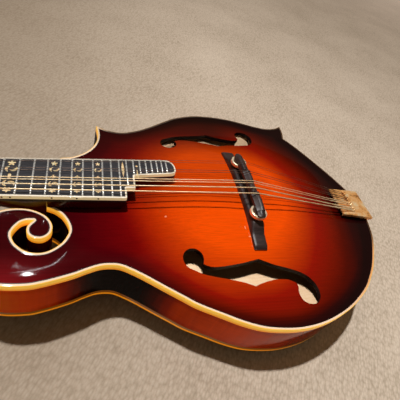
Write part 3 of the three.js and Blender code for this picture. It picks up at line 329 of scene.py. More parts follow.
class Finish:
    """A material and the nodes that paint it."""

    def __init__(self, name):
        self.material = bpy.data.materials.new(name)
        self.material.use_nodes = True
        self.tree = self.material.node_tree
        self.tree.nodes.clear()

    def add(self, kind, settings=None, sockets=None, out=0):
        """A node of a kind: its settings are set first, then its sockets from values or
        wires, by name or number. Gives the wire of one of its outputs."""
        node = self.tree.nodes.new("ShaderNode" + kind)
        for key, value in (settings or {}).items():
            if key == "stops":
                stops = node.color_ramp.elements
                while len(stops) < len(value):
                    stops.new(0.5)
                for stop, (at, colour) in zip(stops, value):
                    stop.position, stop.color = at, colour
            else:
                setattr(node, key, value)
        for key, value in (sockets or {}).items():
            if isinstance(value, Wire):
                self.tree.links.new(value.socket, node.inputs[key])
            else:
                node.inputs[key].default_value = value
        return Wire(self, node.outputs[out]) if len(node.outputs) else None

    def here(self):
        """The place on the piece, in metres."""
        return self.add("TexCoord", out="Object")

    def plan(self, stretch=1):
        """The place in the body's own frame in millimetres, each way divided by stretch."""
        return self.add("Mapping", dict(vector_type="TEXTURE"), {
            "Vector": self.here(), "Location": tuple(REST_SHIFT * METRES),
            "Rotation": (0, REST_TILT, 0),
            "Scale": tuple(METRES * np.broadcast_to(stretch, 3))})

    def parts(self, vector):
        """The three numbers of a vector as wires."""
        first = self.add("SeparateXYZ", sockets={0: vector})
        return [Wire(self, first.socket.node.outputs[i]) for i in range(3)]

    def trait(self, name):
        """A named value of the piece's points."""
        return self.add("Attribute", dict(attribute_name=name), out="Fac")

    def noise(self, vector, scale, detail, rough=0.5, warp=0.0):
        """Smooth noise, mostly from 0.3 to 0.7."""
        return self.add("TexNoise", sockets={
            "Vector": vector, "Scale": scale, "Detail": detail, "Roughness": rough,
            "Distortion": warp})

    def grain(self, stretch, detail=2.0, rough=0.5):
        """Noise over the body's frame, drawn out to these millimetres each way."""
        return self.noise(self.plan(stretch), 1.0, detail, rough)

    def ramp(self, value, *stops):
        """A colour for a value: stops are pairs of a value from 0 to 1 and a colour code."""
        return self.add("ValToRGB", dict(stops=[(at, tint(code)) for at, code in stops]),
                        {0: value})

    def mix(self, amount, under, over, way="MIX"):
        """One colour over another by an amount from 0 to 1."""
        return self.add("Mix", dict(data_type="RGBA", blend_type=way), {
            0: amount, 6: tint(under) if isinstance(under, str) else under,
            7: tint(over) if isinstance(over, str) else over}, out=2)

    def bump(self, height, strength, distance, normal=None):
        """A normal leaning with a height in millimetres of relief."""
        sockets = {"Height": height, "Strength": strength, "Distance": distance * METRES}
        if normal:
            sockets["Normal"] = normal
        return self.add("Bump", sockets=sockets)

    def coat(self, colour, roughness, metal=0.0, normal=None, **fixed):
        """The surface itself; fixed are the sockets that are the same all over."""
        sockets = {"Base Color": tint(colour) if isinstance(colour, str) else colour,
                   "Roughness": roughness, "Metallic": metal}
        sockets.update({key.replace("_", " ").title().replace("Ior", "IOR"): value
                        for key, value in fixed.items()})
        if normal:
            sockets["Normal"] = normal
        surface = self.add("BsdfPrincipled", sockets=sockets)
        self.add("OutputMaterial", sockets={"Surface": surface})
        return self


def bare_maple():
    """Bare maple: pale, with fine fibres along x, short flecks and a faint curl."""
    finish = Finish("bare_maple")
    fibre = finish.grain((14, 0.8, 0.8), 4.0, 0.6)
    fleck = finish.grain((3, 0.5, 0.5), 2.0, 0.7)
    curl = finish.grain((4, 30, 30), 1.0)
    shade = (fibre * 0.5 + fleck * 0.25 + curl * 0.25).clamped()
    colour = finish.ramp(shade, (0.3, "#c59e78"), (0.5, "#d4b38e"), (0.7, "#dec3a4"))
    return finish.coat(colour, 0.55 + fibre * 0.2, normal=finish.bump(fibre, 0.25, 0.2))


def rim_lacquer():
    """Curly maple under a shaded lacquer: stripes of figure across the rim, and a stain
    that follows the dark value carried by the points."""
    finish = Finish("rim_lacquer")
    dark, along, height = (finish.trait(name) for name in ("dark", "along", "height"))
    place = finish.add("CombineXYZ", sockets={0: along, 1: height, 2: 0})
    wide = finish.add("Mapping", sockets={"Vector": place, "Scale": (0.16, 0.012, 1)})
    fine = finish.add("Mapping", sockets={"Vector": place, "Scale": (0.05, 0.9, 1)})
    curl = finish.noise(wide, 1.0, 3.0, 0.55, 0.6)
    fibre = finish.noise(fine, 1.0, 4.0, 0.6)
    wander = finish.grain(40)
    edge = (height.away() - 9).clamped() * (height.away() - 9) * 0.012
    x, y, _ = finish.parts(finish.plan())
    tail = x.rise(290, 360) * (1 - y.rise(-60, -30))
    depth = (dark + edge + (wander - 0.5) * 0.12 + (0.5 - curl) * 0.16
             + (0.5 - fibre) * 0.12 + tail * 0.13).clamped()
    colour = finish.ramp(depth, (0.0, "#ff8404"), (0.25, "#f45200"), (0.48, "#a82800"),
                         (0.68, "#4a1003"), (0.86, "#140506"), (1.0, "#0a0304"))
    # painted shade: inside the scroll's slot the rim is darkened nearly to black
    slot = x.rise(168, 176) * (1 - x.rise(224, 232)) * y.rise(-60, -54) * (1 - y.rise(-14, -8))
    colour = finish.mix(slot * 0.9, colour, "#0c0406")
    ripple = finish.noise(finish.here(), 60.0, 2.0)
    return finish.coat(colour, 0.2 + fibre * 0.08, normal=finish.bump(ripple, 0.06, 1.0),
                       coat_weight=0.2 + tail * 0.6, coat_roughness=0.06,
                       coat_ior=1.3, specular_ior_level=0)


BARE_MAPLE = bare_maple()
RIM_LACQUER = rim_lacquer()
RIM_TOP = -PLATE_THICKNESS - GLUE_GAP
RIM_BOTTOM = PLATE_THICKNESS + GLUE_GAP - RIM_DEPTH
# how dark the stain is at places round the rim, in the order of the outline's points
RIM_DARK_SHARES = [
    (0, 0.75), (0.02, 0.5), (0.045, 0.4), (0.062, 0.9), (0.085, 0.62), (0.12, 0.85),
    (0.17, 0.25), (0.24, 0.2), (0.31, 0.62), (0.345, 0.95), (0.375, 0.9), (0.41, 0.85),
    (0.45, 0.98), (0.5, 0.84), (0.535, 0.5), (0.565, 0.32), (0.6, 0.2), (0.64, 0.36),
    (0.67, 0.95), (0.695, 0.9), (0.72, 0.35), (0.75, 0.12), (0.79, 0.1), (0.83, 0.25),
    (0.88, 0.55), (0.93, 0.75), (1, 0.75),
]


def ring_piece(name, profile, finishes, inks=None, face=None, outline=OUTLINE, **rest):
    """A profile carried round an outline: its points are pairs of a distance inward from the
    outline and a height. They carry the place along the outline, the height over the middle
    of the rim, how dark the rim's stain is there and, where face says so, how much they
    belong to the flat face."""
    count = len(outline.line)
    points = np.concatenate([np.column_stack([outline.inward(inset), np.full(count, height)])
                             for inset, height in profile])
    along = np.tile(outline.along, len(profile))
    traits = {"along": along, "height": points[:, 2] + RIM_DEPTH / 2,
              "dark": np.interp(along / outline.length, *np.array(RIM_DARK_SHARES).T)}
    if face:
        traits["face"] = np.repeat(face, count)
    piece(name, points, quads(len(profile), count, True), finishes,
          inks=None if inks is None else np.repeat(inks, count), traits=traits, **rest)


RIM_STEP = BINDING_WIDTH + GLUE_GAP
RIM_LIP = 0.15
ring_piece("ribs", [
    (RIM_STEP, RIM_TOP), (RIM_STEP, -BINDING_HEIGHT - GLUE_GAP),
    (RIM_LIP, -BINDING_HEIGHT - GLUE_GAP), (0, -BINDING_HEIGHT - GLUE_GAP - RIM_LIP),
    (0, -RIM_DEPTH / 2), (0, BINDING_HEIGHT - RIM_DEPTH + GLUE_GAP + RIM_LIP),
    (RIM_LIP, BINDING_HEIGHT - RIM_DEPTH + GLUE_GAP),
    (RIM_STEP, BINDING_HEIGHT - RIM_DEPTH + GLUE_GAP), (RIM_STEP, RIM_BOTTOM),
    (RIB_THICKNESS, RIM_BOTTOM), (RIB_THICKNESS, RIM_TOP),
], [RIM_LACQUER, BARE_MAPLE], inks=[1, 1, 0, 0, 0, 0, 0, 1, 1, 1, 1],
    slot="rim_lacquer", replaces=["rim"])

# Inside the rim: blocks at the neck, the tail and both points, linings that widen the glued
# edges, and two tone bars under the top. All are bare wood as the plane and the saw left it.


def bare_spruce():
    """Bare spruce, straw coloured, but painted dark brown as shade for the inside of the body,
    with a darker line for each year's growth along x.
    """
    finish = Finish("bare_spruce")
    year = finish.grain((300, 1.1, 1.1), 2.0, 0.6)
    fibre = finish.grain((12, 0.4, 0.4), 3.0)
    colour = finish.ramp((year * 0.75 + fibre * 0.25).clamped(),
                         (0.32, "#4a3422"), (0.5, "#5e442c"), (0.68, "#74573a"))
    return finish.coat(colour, 0.6 + year * 0.2, normal=finish.bump(year, 0.2, 0.2))


def paint(names, finish):
    """Gives solids of the frame this finish."""
    for name in names:
        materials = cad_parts[name].data.materials
        materials.clear()
        materials.append(finish.material)


SPRUCE_IN_PAINTED_SHADE = bare_spruce()
paint(["head_block", "tail_block", "upper_point_block", "lower_point_block",
       "top_lining", "back_lining"], BARE_MAPLE)
# painted shade: the tone bars take the dark brown spruce, for the shade inside the body
paint(["tone_bar_treble", "tone_bar_bass"], SPRUCE_IN_PAINTED_SHADE)

# The top: two matched halves of spruce carved to an arch, with a shallow hollow round the
# edge and two f-shaped sound holes. The lacquer is shaded from bright orange under the
# bridge through red to near black; it has faint straight grain and a few old knocks.
TOP_ARCH = 13.6
ARCH_X = BODY_START + 0.57 * BODY_LENGTH
ARCH_LEFT = 0.41 * BODY_LENGTH
ARCH_RIGHT = 0.405 * BODY_LENGTH
ARCH_ACROSS = 0.456 * BODY_WIDTH
ARCH_POWER = 1.15
HOLLOW_DEPTH = 0.5
HOLLOW_FROM_EDGE = 10
PURFLING_WIDTH = 0.55
PLATE_PITCH = 2.8
HOLE_SHARES = [
    [[0.4405, -0.28], [0.4545, -0.289], [0.476, -0.291], [0.5205, -0.284], [0.55, -0.276],
     [0.57, -0.27]],
    [[0.57, -0.27], [0.59, -0.28], [0.608, -0.289], [0.643, -0.301], [0.6765, -0.316],
     [0.6965, -0.336], [0.707, -0.362], [0.7075, -0.388], [0.7005, -0.406], [0.688, -0.4175],
     [0.6685, -0.416], [0.6555, -0.402], [0.652, -0.38], [0.655, -0.36], [0.6525, -0.349]],
    [[0.6525, -0.349], [0.64, -0.3405], [0.627, -0.337], [0.599, -0.337], [0.568, -0.346],
     [0.5485, -0.355]],
    [[0.5485, -0.355], [0.524, -0.342], [0.493, -0.331], [0.465, -0.322], [0.44, -0.312],
     [0.423, -0.3], [0.4065, -0.286], [0.399, -0.264], [0.4025, -0.242], [0.415, -0.23],
     [0.429, -0.232], [0.44, -0.246], [0.443, -0.264], [0.4405, -0.28]],
]


def arch_at(x, y):
    """A bell that falls from 1 over the middle of a plate to 0 near its edge: half of one
    plus the cosine of the reach, which is raised to a power a little above 1."""
    half = np.where(x < ARCH_X, ARCH_LEFT, ARCH_RIGHT)
    reach = np.minimum(np.hypot((x - ARCH_X) / half, y / ARCH_ACROSS), 1)
    return (1 + np.cos(math.pi * reach**ARCH_POWER)) / 2


def gap_to(points, line):
    """The distance of each point to a closed line."""
    nearest = np.full(len(points), np.inf)
    for start, edge in zip(line, np.roll(line, -1, 0) - line):
        offset = points - start
        along = np.clip(offset @ edge / max(edge @ edge, 1e-9), 0, 1)
        nearest = np.minimum(nearest, np.linalg.norm(offset - along[:, None] * edge, axis=1))
    return nearest


def within(points, line):
    """Whether each point is inside a closed line: its ray crosses the line an odd number of
    times."""
    inside = np.zeros(len(points), bool)
    x, y = points.T
    for (x0, y0), (x1, y1) in zip(line, np.roll(line, -1, 0)):
        if y0 != y1:
            inside ^= ((y0 > y) != (y1 > y)) & (x < x0 + (y - y0) / (y1 - y0) * (x1 - x0))
    return inside


def open_line(line):
    """A closed line without points that repeat the one before."""
    step = np.linalg.norm(line - np.roll(line, 1, 0), axis=1)
    return line[step > 0.01]


def sheet_between(loops, pitch):
    """Triangles that fill the first closed line and leave the others open, over rows of
    points a pitch apart. Gives the points, the triangles and the points' numbers in each
    line."""
    outer = loops[0]
    low, high = outer.min(0), outer.max(0)
    xs, ys = np.meshgrid(np.arange(low[0], high[0], pitch), np.arange(low[1], high[1], pitch))
    xs = xs + (np.arange(len(xs)) % 2 * pitch / 2)[:, None]
    rows = np.column_stack([xs.ravel(), ys.ravel()])
    rows = rows[within(rows, outer)]
    for loop in loops:
        rows = rows[gap_to(rows, loop) > pitch / 2]
    for loop in loops[1:]:
        rows = rows[~within(rows, loop)]
    counts = np.cumsum([0] + [len(loop) for loop in loops])
    rings = [np.arange(first, last) for first, last in zip(counts, counts[1:])]
    edges = [(int(a), int(b)) for ring in rings for a, b in zip(ring, np.roll(ring, -1))]
    points = np.vstack(loops + [rows])
    found = delaunay_2d_cdt([Vector(point) for point in points], edges, [], 0, 1e-6, False)
    points = np.array([tuple(point) for point in found[0]])
    faces = np.array(found[2])
    middles = points[faces].mean(1)
    keep = within(middles, outer)
    for loop in loops[1:]:
        keep &= ~within(middles, loop)
    return points, faces[keep], rings


def slab(loops, upper, lower, pitch, inks=(0, 0, 0)):
    """Points, faces and finish numbers of a closed slab between two surfaces, over the first
    line and open inside the others. The inks are of its top, its underside and its walls."""
    points, faces, rings = sheet_between(loops, pitch)
    count = len(points)
    high, low = (np.broadcast_to(each(*points.T) if callable(each) else each, count)
                 for each in (upper, lower))
    solid = np.vstack([np.column_stack([points, high]), np.column_stack([points, low])])
    a, b, c = (points[faces[:, i]] for i in range(3))
    left = (b - a)[:, 0] * (c - a)[:, 1] - (b - a)[:, 1] * (c - a)[:, 0] > 0
    faces = np.where(left[:, None], faces, faces[:, ::-1])
    every = faces.tolist() + (faces[:, ::-1] + count).tolist()
    colours = [inks[0]] * len(faces) + [inks[1]] * len(faces)
    for number, ring in enumerate(rings):
        x, y = points[ring].T
        area = (x * np.roll(y, -1) - y * np.roll(x, -1)).sum()
        ring = ring if (area > 0) == (number == 0) else ring[::-1]
        after = np.roll(ring, -1)
        every += np.column_stack([ring, ring + count, after + count, after]).tolist()
        colours += [inks[2]] * len(ring)
    return solid, every, colours


def edge_at(x, y):
    """The distance in plan to the body's edge."""
    return gap_to(np.column_stack([x, y]), open_line(OUTLINE.line))


def plate_piece(name, loops, upper, lower, finishes, inks, **rest):
    """A carved plate: a slab whose points carry their distance to the body's edge. The inks
    number the finishes of its upper side, lower side and walls."""
    points, faces, colours = slab(loops, upper, lower, PLATE_PITCH, inks)
    piece(name, points, faces, finishes, inks=colours,
          traits={"edge": edge_at(*points[:, :2].T)}, **rest)


def hollow_at(edge):
    """How deep the carver's hollow is: nothing at the edge, most a little way in."""
    t = np.minimum(edge, 60) / HOLLOW_FROM_EDGE
    return HOLLOW_DEPTH * t**2 * np.exp(2 - 2 * t)


def top_z(x, y, edge=60):
    """The height of the top's face."""
    return TOP_ARCH * arch_at(x, y) - hollow_at(edge)


BURST_X = 340
BURST_ALONG = 92
BURST_BASS = 100
BURST_TREBLE = 88
# old knocks on the lacquer: x, y, half length and half width
KNOCKS = [(347, -40.5, 0.5, 1.5), (349.5, -48.5, 1.3, 0.6), (354, -48, 0.5, 0.8),
          (282, -29, 0.9, 0.8)]


def top_lacquer():
    """Shaded lacquer over spruce. The shade follows an ellipse round the middle of the
    lower bout and darkens at the plate's edge; toward the neck it stays wine red."""
    finish = Finish("top_lacquer")
    x, y, _ = finish.parts(finish.plan())
    across = (y.away() + y) / (2 * BURST_TREBLE) + (y.away() - y) / (2 * BURST_BASS)
    along = (x - BURST_X) / BURST_ALONG
    wander = finish.grain(60)
    reach = (across * across + along * along) ** 0.5 + (wander - 0.5) * 0.14
    rim = 1 - finish.trait("edge").rise(1, 17)
    depth = (reach * 0.5 + rim * 0.13).clamped()
    glow = finish.ramp(depth, (0.3, "#ec4c01"), (0.4, "#c23802"), (0.5, "#8c1103"),
                       (0.585, "#701001"), (0.655, "#4c0801"), (0.735, "#290505"),
                       (0.82, "#170506"))
    wine = finish.ramp(depth, (0.42, "#9a1804"), (0.52, "#680406"), (0.66, "#4a0208"),
                       (0.9, "#3a0308"))
    colour = finish.mix(1 - x.rise(235, 320), glow, wine)
    # painted sheen: the bass side of the upper bout is lightened to a pinkish red, for a broad
    # reflection in the lacquer
    blush = (1 - x.rise(172, 222)) * (1 - y.rise(-84, -50))
    colour = finish.mix(blush * 0.8, colour, "#82151a")
    # painted shade: the top darkens from under the strings toward the treble edge, less so near
    # the tail, for light that falls mostly on the bass side
    painted_treble_shade = (y.rise(-24, -6) * 0.3 + y.rise(35, 95) * 0.5) * (1 - x.rise(350, 405) * 0.9)
    colour = finish.mix(painted_treble_shade, colour, "#140604")
    year = finish.grain((500, 0.75, 0.75), 2.0, 0.7)
    grain = finish.ramp(year, (0.35, "#d8d8d8"), (0.6, "#ffffff"))
    colour = finish.mix(0.55, colour, grain, "MULTIPLY")
    for place_x, place_y, long, wide in KNOCKS:
        spot = (((x - place_x) / long) ** 2 + ((y - place_y) / wide) ** 2).rise(0.7, 1.2)
        colour = finish.mix((1 - spot) * 0.5, colour, "#ffb48c")
    ripple = finish.grain(24)
    normal = finish.bump(year, 0.12, 0.05, finish.bump(ripple, 0.15, 0.6))
    played = (((x - 248) / 36) ** 2 + ((y + 36) / 24) ** 2).rise(0.8, 1.4)
    return finish.coat(colour, 0.22 + year * 0.1, normal=normal, coat_weight=played * 0.5,
                       coat_roughness=0.04, coat_ior=1.35, specular_ior_level=0)


def hole_edge():
    """The nearly black wall of a sound hole, with the end grain of the plate."""
    finish = Finish("sound_hole_edge")
    layer = finish.grain((8, 8, 0.4))
    colour = finish.ramp(layer, (0.3, "#14060a"), (0.7, "#2c0d0b"))
    return finish.coat(colour, 0.45)


TOP_LACQUER = top_lacquer()
HOLE_EDGE = hole_edge()
HOLE = np.vstack([spline(on_body(shares)) for shares in HOLE_SHARES])
PLATE_LINE = open_line(OUTLINE.inward(BINDING_WIDTH + PURFLING_WIDTH))
# painted shade: the top's underside takes the dark brown spruce, for the shade inside the body
plate_piece("top", [PLATE_LINE, HOLE, HOLE * (1, -1)],
            lambda x, y: top_z(x, y, edge_at(x, y)),
            lambda x, y: top_z(x, y, edge_at(x, y)) - PLATE_THICKNESS,
            [TOP_LACQUER, SPRUCE_IN_PAINTED_SHADE, HOLE_EDGE], (0, 1, 2),
            slot="top_lacquer", replaces=["top_plate"])

# The back: matched halves of curly maple carved to an arch, shaded brown to black under
# the same lacquer. Its bare inner side is what shows pale through the sound holes.
BACK_ARCH = 14.5


def back_lacquer():
    """Curly maple: broad stripes that lean to the middle seam, under a brown shade."""
    finish = Finish("back_lacquer")
    x, y, _ = finish.parts(finish.plan())
    lean = finish.add("CombineXYZ", sockets={0: x * 0.13 + y.away() * 0.035,
                                             1: y * 0.006, 2: 0})
    curl = finish.noise(lean, 1.0, 3.0, 0.55, 0.5)
    fibre = finish.grain((60, 0.9, 0.9), 3.0)
    across, along = y / 108, (x - 335) / 125
    wander = finish.grain(60)
    reach = (across * across + along * along) ** 0.5 + (wander - 0.5) * 0.15
    seam = (1 - y.away().rise(0.1, 0.35)) * 0.25
    rim = 1 - finish.trait("edge").rise(1, 16)
    depth = (reach * 0.55 + rim * 0.2 + (0.5 - curl) * 0.28 + (0.5 - fibre) * 0.12
             + seam).clamped()
    colour = finish.ramp(depth, (0.1, "#d07818"), (0.35, "#a84c0e"), (0.55, "#742406"),
                         (0.72, "#3c0d06"), (0.9, "#180506"))
    ripple = finish.grain(24)
    return finish.coat(colour, 0.22 + fibre * 0.1, normal=finish.bump(ripple, 0.15, 0.6),
                       coat_weight=1.0, coat_roughness=0.06, specular_ior_level=0.2)


def back_z(x, y):
    """The height of the back's face, which bulges downward."""
    return -RIM_DEPTH - BACK_ARCH * arch_at(x, y) + hollow_at(edge_at(x, y))


BACK_LACQUER = back_lacquer()
plate_piece("back", [PLATE_LINE], lambda x, y: back_z(x, y) + PLATE_THICKNESS, back_z,
            [BARE_MAPLE, BACK_LACQUER], (0, 1, 1),
            slot="back_lacquer", replaces=["back_plate"])

# The bindings: strips of celluloid let into a step round each plate, aged from cream to
# amber where the lacquer lies thick on their sides, with a thin black line inside them.
# Their sides carry painted light, and on the bass side their face a painted highlight.
BINDING_ROUND = 0.3
PURFLING_DEPTH = 1.5
PROUD = 0.02


def aged_binding(name="aged_binding", side="#ffc64a", deep="#f2920f", face="#f4d6bc"):
    """Celluloid: amber on the sides, lighter toward their top edge and glowing, as painted
    light for the light that comes through it. The flat face is pale, on the body's bindings
    a painted highlight, except on the treble side and at the tail end, where it is dark."""
    finish = Finish(name)
    face_share = finish.trait("face")
    x, y, z = finish.parts(finish.plan())
    cloud = finish.grain((18, 18, 4), 3.0)
    hair = finish.grain((30, 30, 0.35), 2.0, 0.7)
    # painted light: the sides grow lighter toward the top edge, for the highlight on the rounded
    # corner and light through the celluloid
    light = cloud * 0.3 + hair * 0.2 + z.rise(-5.5, -0.5) * 0.5
    amber = finish.ramp(light.clamped(), (0.25, deep), (0.6, side))
    stained = z.rise(-39.9, -39.0) * (1 - z.rise(-31, -30))
    amber = finish.mix(stained * 0.85, amber, "#3c1004")
    # painted highlight: the face is pale, turning orange toward the tail
    pale = finish.mix(cloud * 0.35, face, "#ecd0a2")
    pale = finish.mix(x.rise(400, 470) * 0.8, pale, "#d88a3a")
    colour = finish.mix(face_share.rise(0.35, 0.75), amber, pale)
    # where no highlight is painted, on the treble side and at the tail end, the face is dark
    face_without_highlight = (y.rise(5, 50) * x.rise(228, 246) + x.rise(484, 500)).clamped()
    colour = finish.mix(face_without_highlight * face_share.rise(-0.1, 0.1) * 0.93, colour, "#2a110a")
    # painted glow: the amber sides emit light of their own colour, for light that comes through
    # the celluloid; the face does not
    through = finish.mix(face_share.rise(0.0, 0.5), amber, "#000000")
    return finish.coat(colour, 0.25 + hair * 0.1, normal=finish.bump(hair, 0.05, 0.1),
                       coat_weight=0.6, coat_roughness=0.06, coat_ior=1.35,
                       specular_ior_level=0.1, emission_color=through,
                       emission_strength=0.5)


def black_line():
    """Black fibre line, a little uneven from scraping."""
    finish = Finish("black_line")
    wear = finish.grain(3, 3.0)
    return finish.coat(finish.ramp(wear, (0.3, "#08060a"), (0.7, "#1c1314")), 0.3,
                       coat_weight=0.6, coat_roughness=0.06)


AGED_BINDING = aged_binding()
BLACK_LINE = black_line()
for name, face_z, inner_z, way in (("top_binding", 0, -BINDING_HEIGHT, 1),
                                   ("back_binding", -RIM_DEPTH,
                                    BINDING_HEIGHT - RIM_DEPTH, -1)):
    ring_piece(name + "_strip", [
        (BINDING_WIDTH, face_z), (BINDING_WIDTH * 0.55, face_z),
        (BINDING_ROUND, face_z),
        (BINDING_ROUND * 0.3, face_z - way * BINDING_ROUND * 0.3),
        (0, face_z - way * BINDING_ROUND), (0, inner_z), (BINDING_WIDTH, inner_z),
    ], AGED_BINDING, face=[1, 1, 0.4, 0.2, 0, 0, 0], slot="aged_binding", replaces=[name])
    line_outer, line_inner = BINDING_WIDTH + PROUD, BINDING_WIDTH + PURFLING_WIDTH
    line_face, line_foot = face_z + way * PROUD, face_z - way * PURFLING_DEPTH
    ring_piece(name + "_line", [(line_outer, line_face), (line_inner, line_face),
                                (line_inner, line_foot), (line_outer, line_foot)], BLACK_LINE)

# The neck: one piece of maple from the head to a dovetail in the body, rounded behind the
# fingerboard and swept down into a heel. It is stained wine black and lacquered like the
# body, and a dark riser carries the fingerboard on over the top.
BOARD_LENGTH = 294
BOARD_THICKNESS = 5.6
NUT_WIDTH = 29
BOARD_END_WIDTH = 44.4
NECK_DEPTH = 15.5
NECK_STEPS, HEEL_STEPS = 13, 18
NECK_INSET = 0.6
SEAT_X = BODY_START + 0.134 * BODY_LENGTH
SEAT_ALONG = SEAT_X / math.cos(NECK_PITCH)
SEAT_GAP = 0.3
HEEL_FROM = 0.78
HEEL_POWER = 2.2
HEEL_DEPTH = (NUT_Z + SEAT_X * math.tan(NECK_PITCH) + RIM_DEPTH - BOARD_THICKNESS
              - 2 * GLUE_GAP)
NECK_SIDES = 25
RISER_END = 0.845 * BOARD_LENGTH
RISER_START = SEAT_ALONG - 0.4
PROP_DEPTH = 2.6
PROP_END = 0.97 * BOARD_LENGTH
PROP_BASS = 6.97
HEAD_THICKNESS = 14
VENEER_THICKNESS = 1.6
UNDER_BOARD = -BOARD_THICKNESS - GLUE_GAP


def board_half(x):
    """Half the width of the fingerboard, which widens evenly from the nut."""
    return (NUT_WIDTH + (BOARD_END_WIDTH - NUT_WIDTH) * np.asarray(x) / BOARD_LENGTH) / 2


def neck_rows(x, half, top, depth, power, lean=0.0):
    """Sections across the neck: each is the lower half of an oval whose sine and cosine are
    raised to a power, from 1 for a plain oval to near 0 for a box, leaned along x."""
    angle = np.linspace(0, math.pi, NECK_SIDES)
    cosine, sine = np.cos(angle), np.sin(angle).clip(0)
    x, half, top, depth, power, lean = (np.broadcast_to(each, np.shape(x))[:, None]
                                        for each in (x, half, top, depth, power, lean))
    z = top - depth * sine**power
    return np.stack([x + lean * z, half * np.sign(cosine) * np.abs(cosine)**power, z], -1)


def neck_lacquer():
    """Wine-black lacquer over plain maple, a little browner in soft clouds."""
    finish = Finish("neck_lacquer")
    fibre = finish.grain((30, 1, 1), 4.0, 0.6)
    cloud = finish.grain((45, 20, 20))
    colour = finish.ramp((fibre * 0.4 + cloud * 0.6).clamped(),
                         (0.35, "#16060a"), (0.65, "#4a100e"))
    return finish.coat(colour, 0.25 + fibre * 0.12, coat_weight=0.5, coat_roughness=0.08,
                       normal=finish.bump(fibre, 0.06, 0.1), specular_ior_level=0.1)


def sealed(rows):
    """Points and faces of rows joined into a closed tube with flat ends."""
    count, around = rows.shape[:2]
    faces = quads(count, around).tolist()
    faces += [list(range(around))[::-1], list(range((count - 1) * around, count * around))]
    return rows.reshape(-1, 3), faces


NECK_LACQUER = neck_lacquer()
along = np.concatenate([
    np.linspace(NUT_BACK, SEAT_ALONG * HEEL_FROM, NECK_STEPS, endpoint=False),
    SEAT_ALONG * np.linspace(HEEL_FROM, 1, HEEL_STEPS)])
drop = ((along / SEAT_ALONG - HEEL_FROM) / (1 - HEEL_FROM)).clip(0, 1)
shaft = neck_rows(along - drop * SEAT_GAP, board_half(along.clip(0)) - NECK_INSET, UNDER_BOARD,
                  NECK_DEPTH + (HEEL_DEPTH - NECK_DEPTH) * drop**HEEL_POWER,
                  1 - 0.12 * drop, drop * math.tan(NECK_PITCH))
# sections behind the head's lower end: their x, half width, depth and power
VOLUTE = np.array([(-30, 13.6, 11.5, 0.35), (-22, 13.7, 12.8, 0.45), (-15, 13.8, 14.6, 0.6),
                   (-9, 13.9, 16, 0.78), (-4, 13.9, 16.9, 0.92)])
volute = neck_rows(VOLUTE[:, 0], VOLUTE[:, 1], -VENEER_THICKNESS - 0.4, *VOLUTE[:, 2:].T)
points, faces = sealed(np.concatenate([moved(volute, HEAD_IN_NECK), shaft]))
piece("neck_shaft", points, faces, NECK_LACQUER, slot="neck_lacquer", replaces=["neck"],
      place=NECK)


def rounded(corners, steps=6):
    """A closed line through corners given as x, y and a rounding: each corner becomes an arc
    of points blended from its two tangent points."""
    corners = np.asarray(corners, float)
    spots, radius = corners[:, :2], corners[:, 2:]
    to_last, to_next = (unit(np.roll(spots, step, 0) - spots) for step in (1, -1))
    t = np.linspace(0, 1, steps)[None, :, None]
    start, end = ((spots + way * radius)[:, None] for way in (to_last, to_next))
    arcs = (1 - t)**2 * start + 2 * t * (1 - t) * spots[:, None] + t**2 * end
    return open_line(arcs.reshape(-1, 2))


def cut_piece(name, loops, upper, lower, pitch, finish, **rest):
    """A slab of one finish between two surfaces, over the first closed line and open inside
    the others."""
    points, faces, _ = slab(loops, upper, lower, pitch)
    piece(name, points, faces, finish, **rest)


riser_line = rounded([(x, side * (board_half(x) - NECK_INSET), radius) for x, side, radius in (
    (RISER_START, 1, 0), (RISER_END, 1, 1.5), (RISER_END, -1, 1.5), (RISER_START, -1, 0))])
prop_line = rounded([(RISER_END - 4, PROP_BASS, 0), (PROP_END, PROP_BASS + 0.33, 2.5),
                     (PROP_END, board_half(RISER_END) - 1.6, 2.5),
                     (RISER_END - 4, board_half(RISER_END) - 1.2, 0)])


def over_top(x, y):
    """The height in the neck's frame a little over the top plate below a point."""
    slope = math.tan(NECK_PITCH)
    reach = x * math.cos(NECK_PITCH)
    return (top_z(reach, y) + 0.4 - NUT_Z) / math.cos(NECK_PITCH) - x * slope


for name, line, under in (("board_riser", riser_line, over_top),
                          ("board_prop", prop_line, UNDER_BOARD - PROP_DEPTH)):
    cut_piece(name, [line], UNDER_BOARD, under, 4, NECK_LACQUER, slot="neck_lacquer", place=NECK)

# The head leans back from the nut: maple with a black veneer glued on its face, cut to a
# scroll at each corner, bound with the same celluloid, and drilled for eight string posts.
HEAD_LENGTH = 172
HEAD_WIDTH = 84
FIRST_POST = 34
POST_SPACING = 23
POST_Y = 0.19 * HEAD_WIDTH
POST_HOLE = 3.4
HEAD_BINDING = 1.35
GLUE_LINE = 0.05
COVER_SIZE = (27, 15)
COVER_FROM = 2
HEAD_BACK = -VENEER_THICKNESS - HEAD_THICKNESS
HEAD_SHARES = [
    [0, 0.168], [0.03, 0.175], [0.075, 0.25], [0.12, 0.335], [0.17, 0.372], [0.3, 0.38],
    [0.45, 0.385], [0.6, 0.4], [0.69, 0.43], [0.74, 0.48], [0.79, 0.5], [0.84, 0.48],
    [0.86, 0.43], [0.84, 0.38], [0.8, 0.34], [0.815, 0.28], [0.86, 0.21], [0.91, 0.17],
    [0.96, 0.11], [1, 0.02], [0.985, -0.09], [0.94, -0.17], [0.9, -0.27], [0.84, -0.36],
    [0.76, -0.42], [0.7, -0.41], [0.6, -0.392], [0.45, -0.385], [0.3, -0.38],
    [0.17, -0.372], [0.12, -0.335], [0.075, -0.25], [0.03, -0.175], [0, -0.168],
]
POSTS = [(side, f"{name}_{number + 1}", -FIRST_POST - number * POST_SPACING, side * POST_Y)
         for side, name in ((1, "treble"), (-1, "bass")) for number in range(4)]


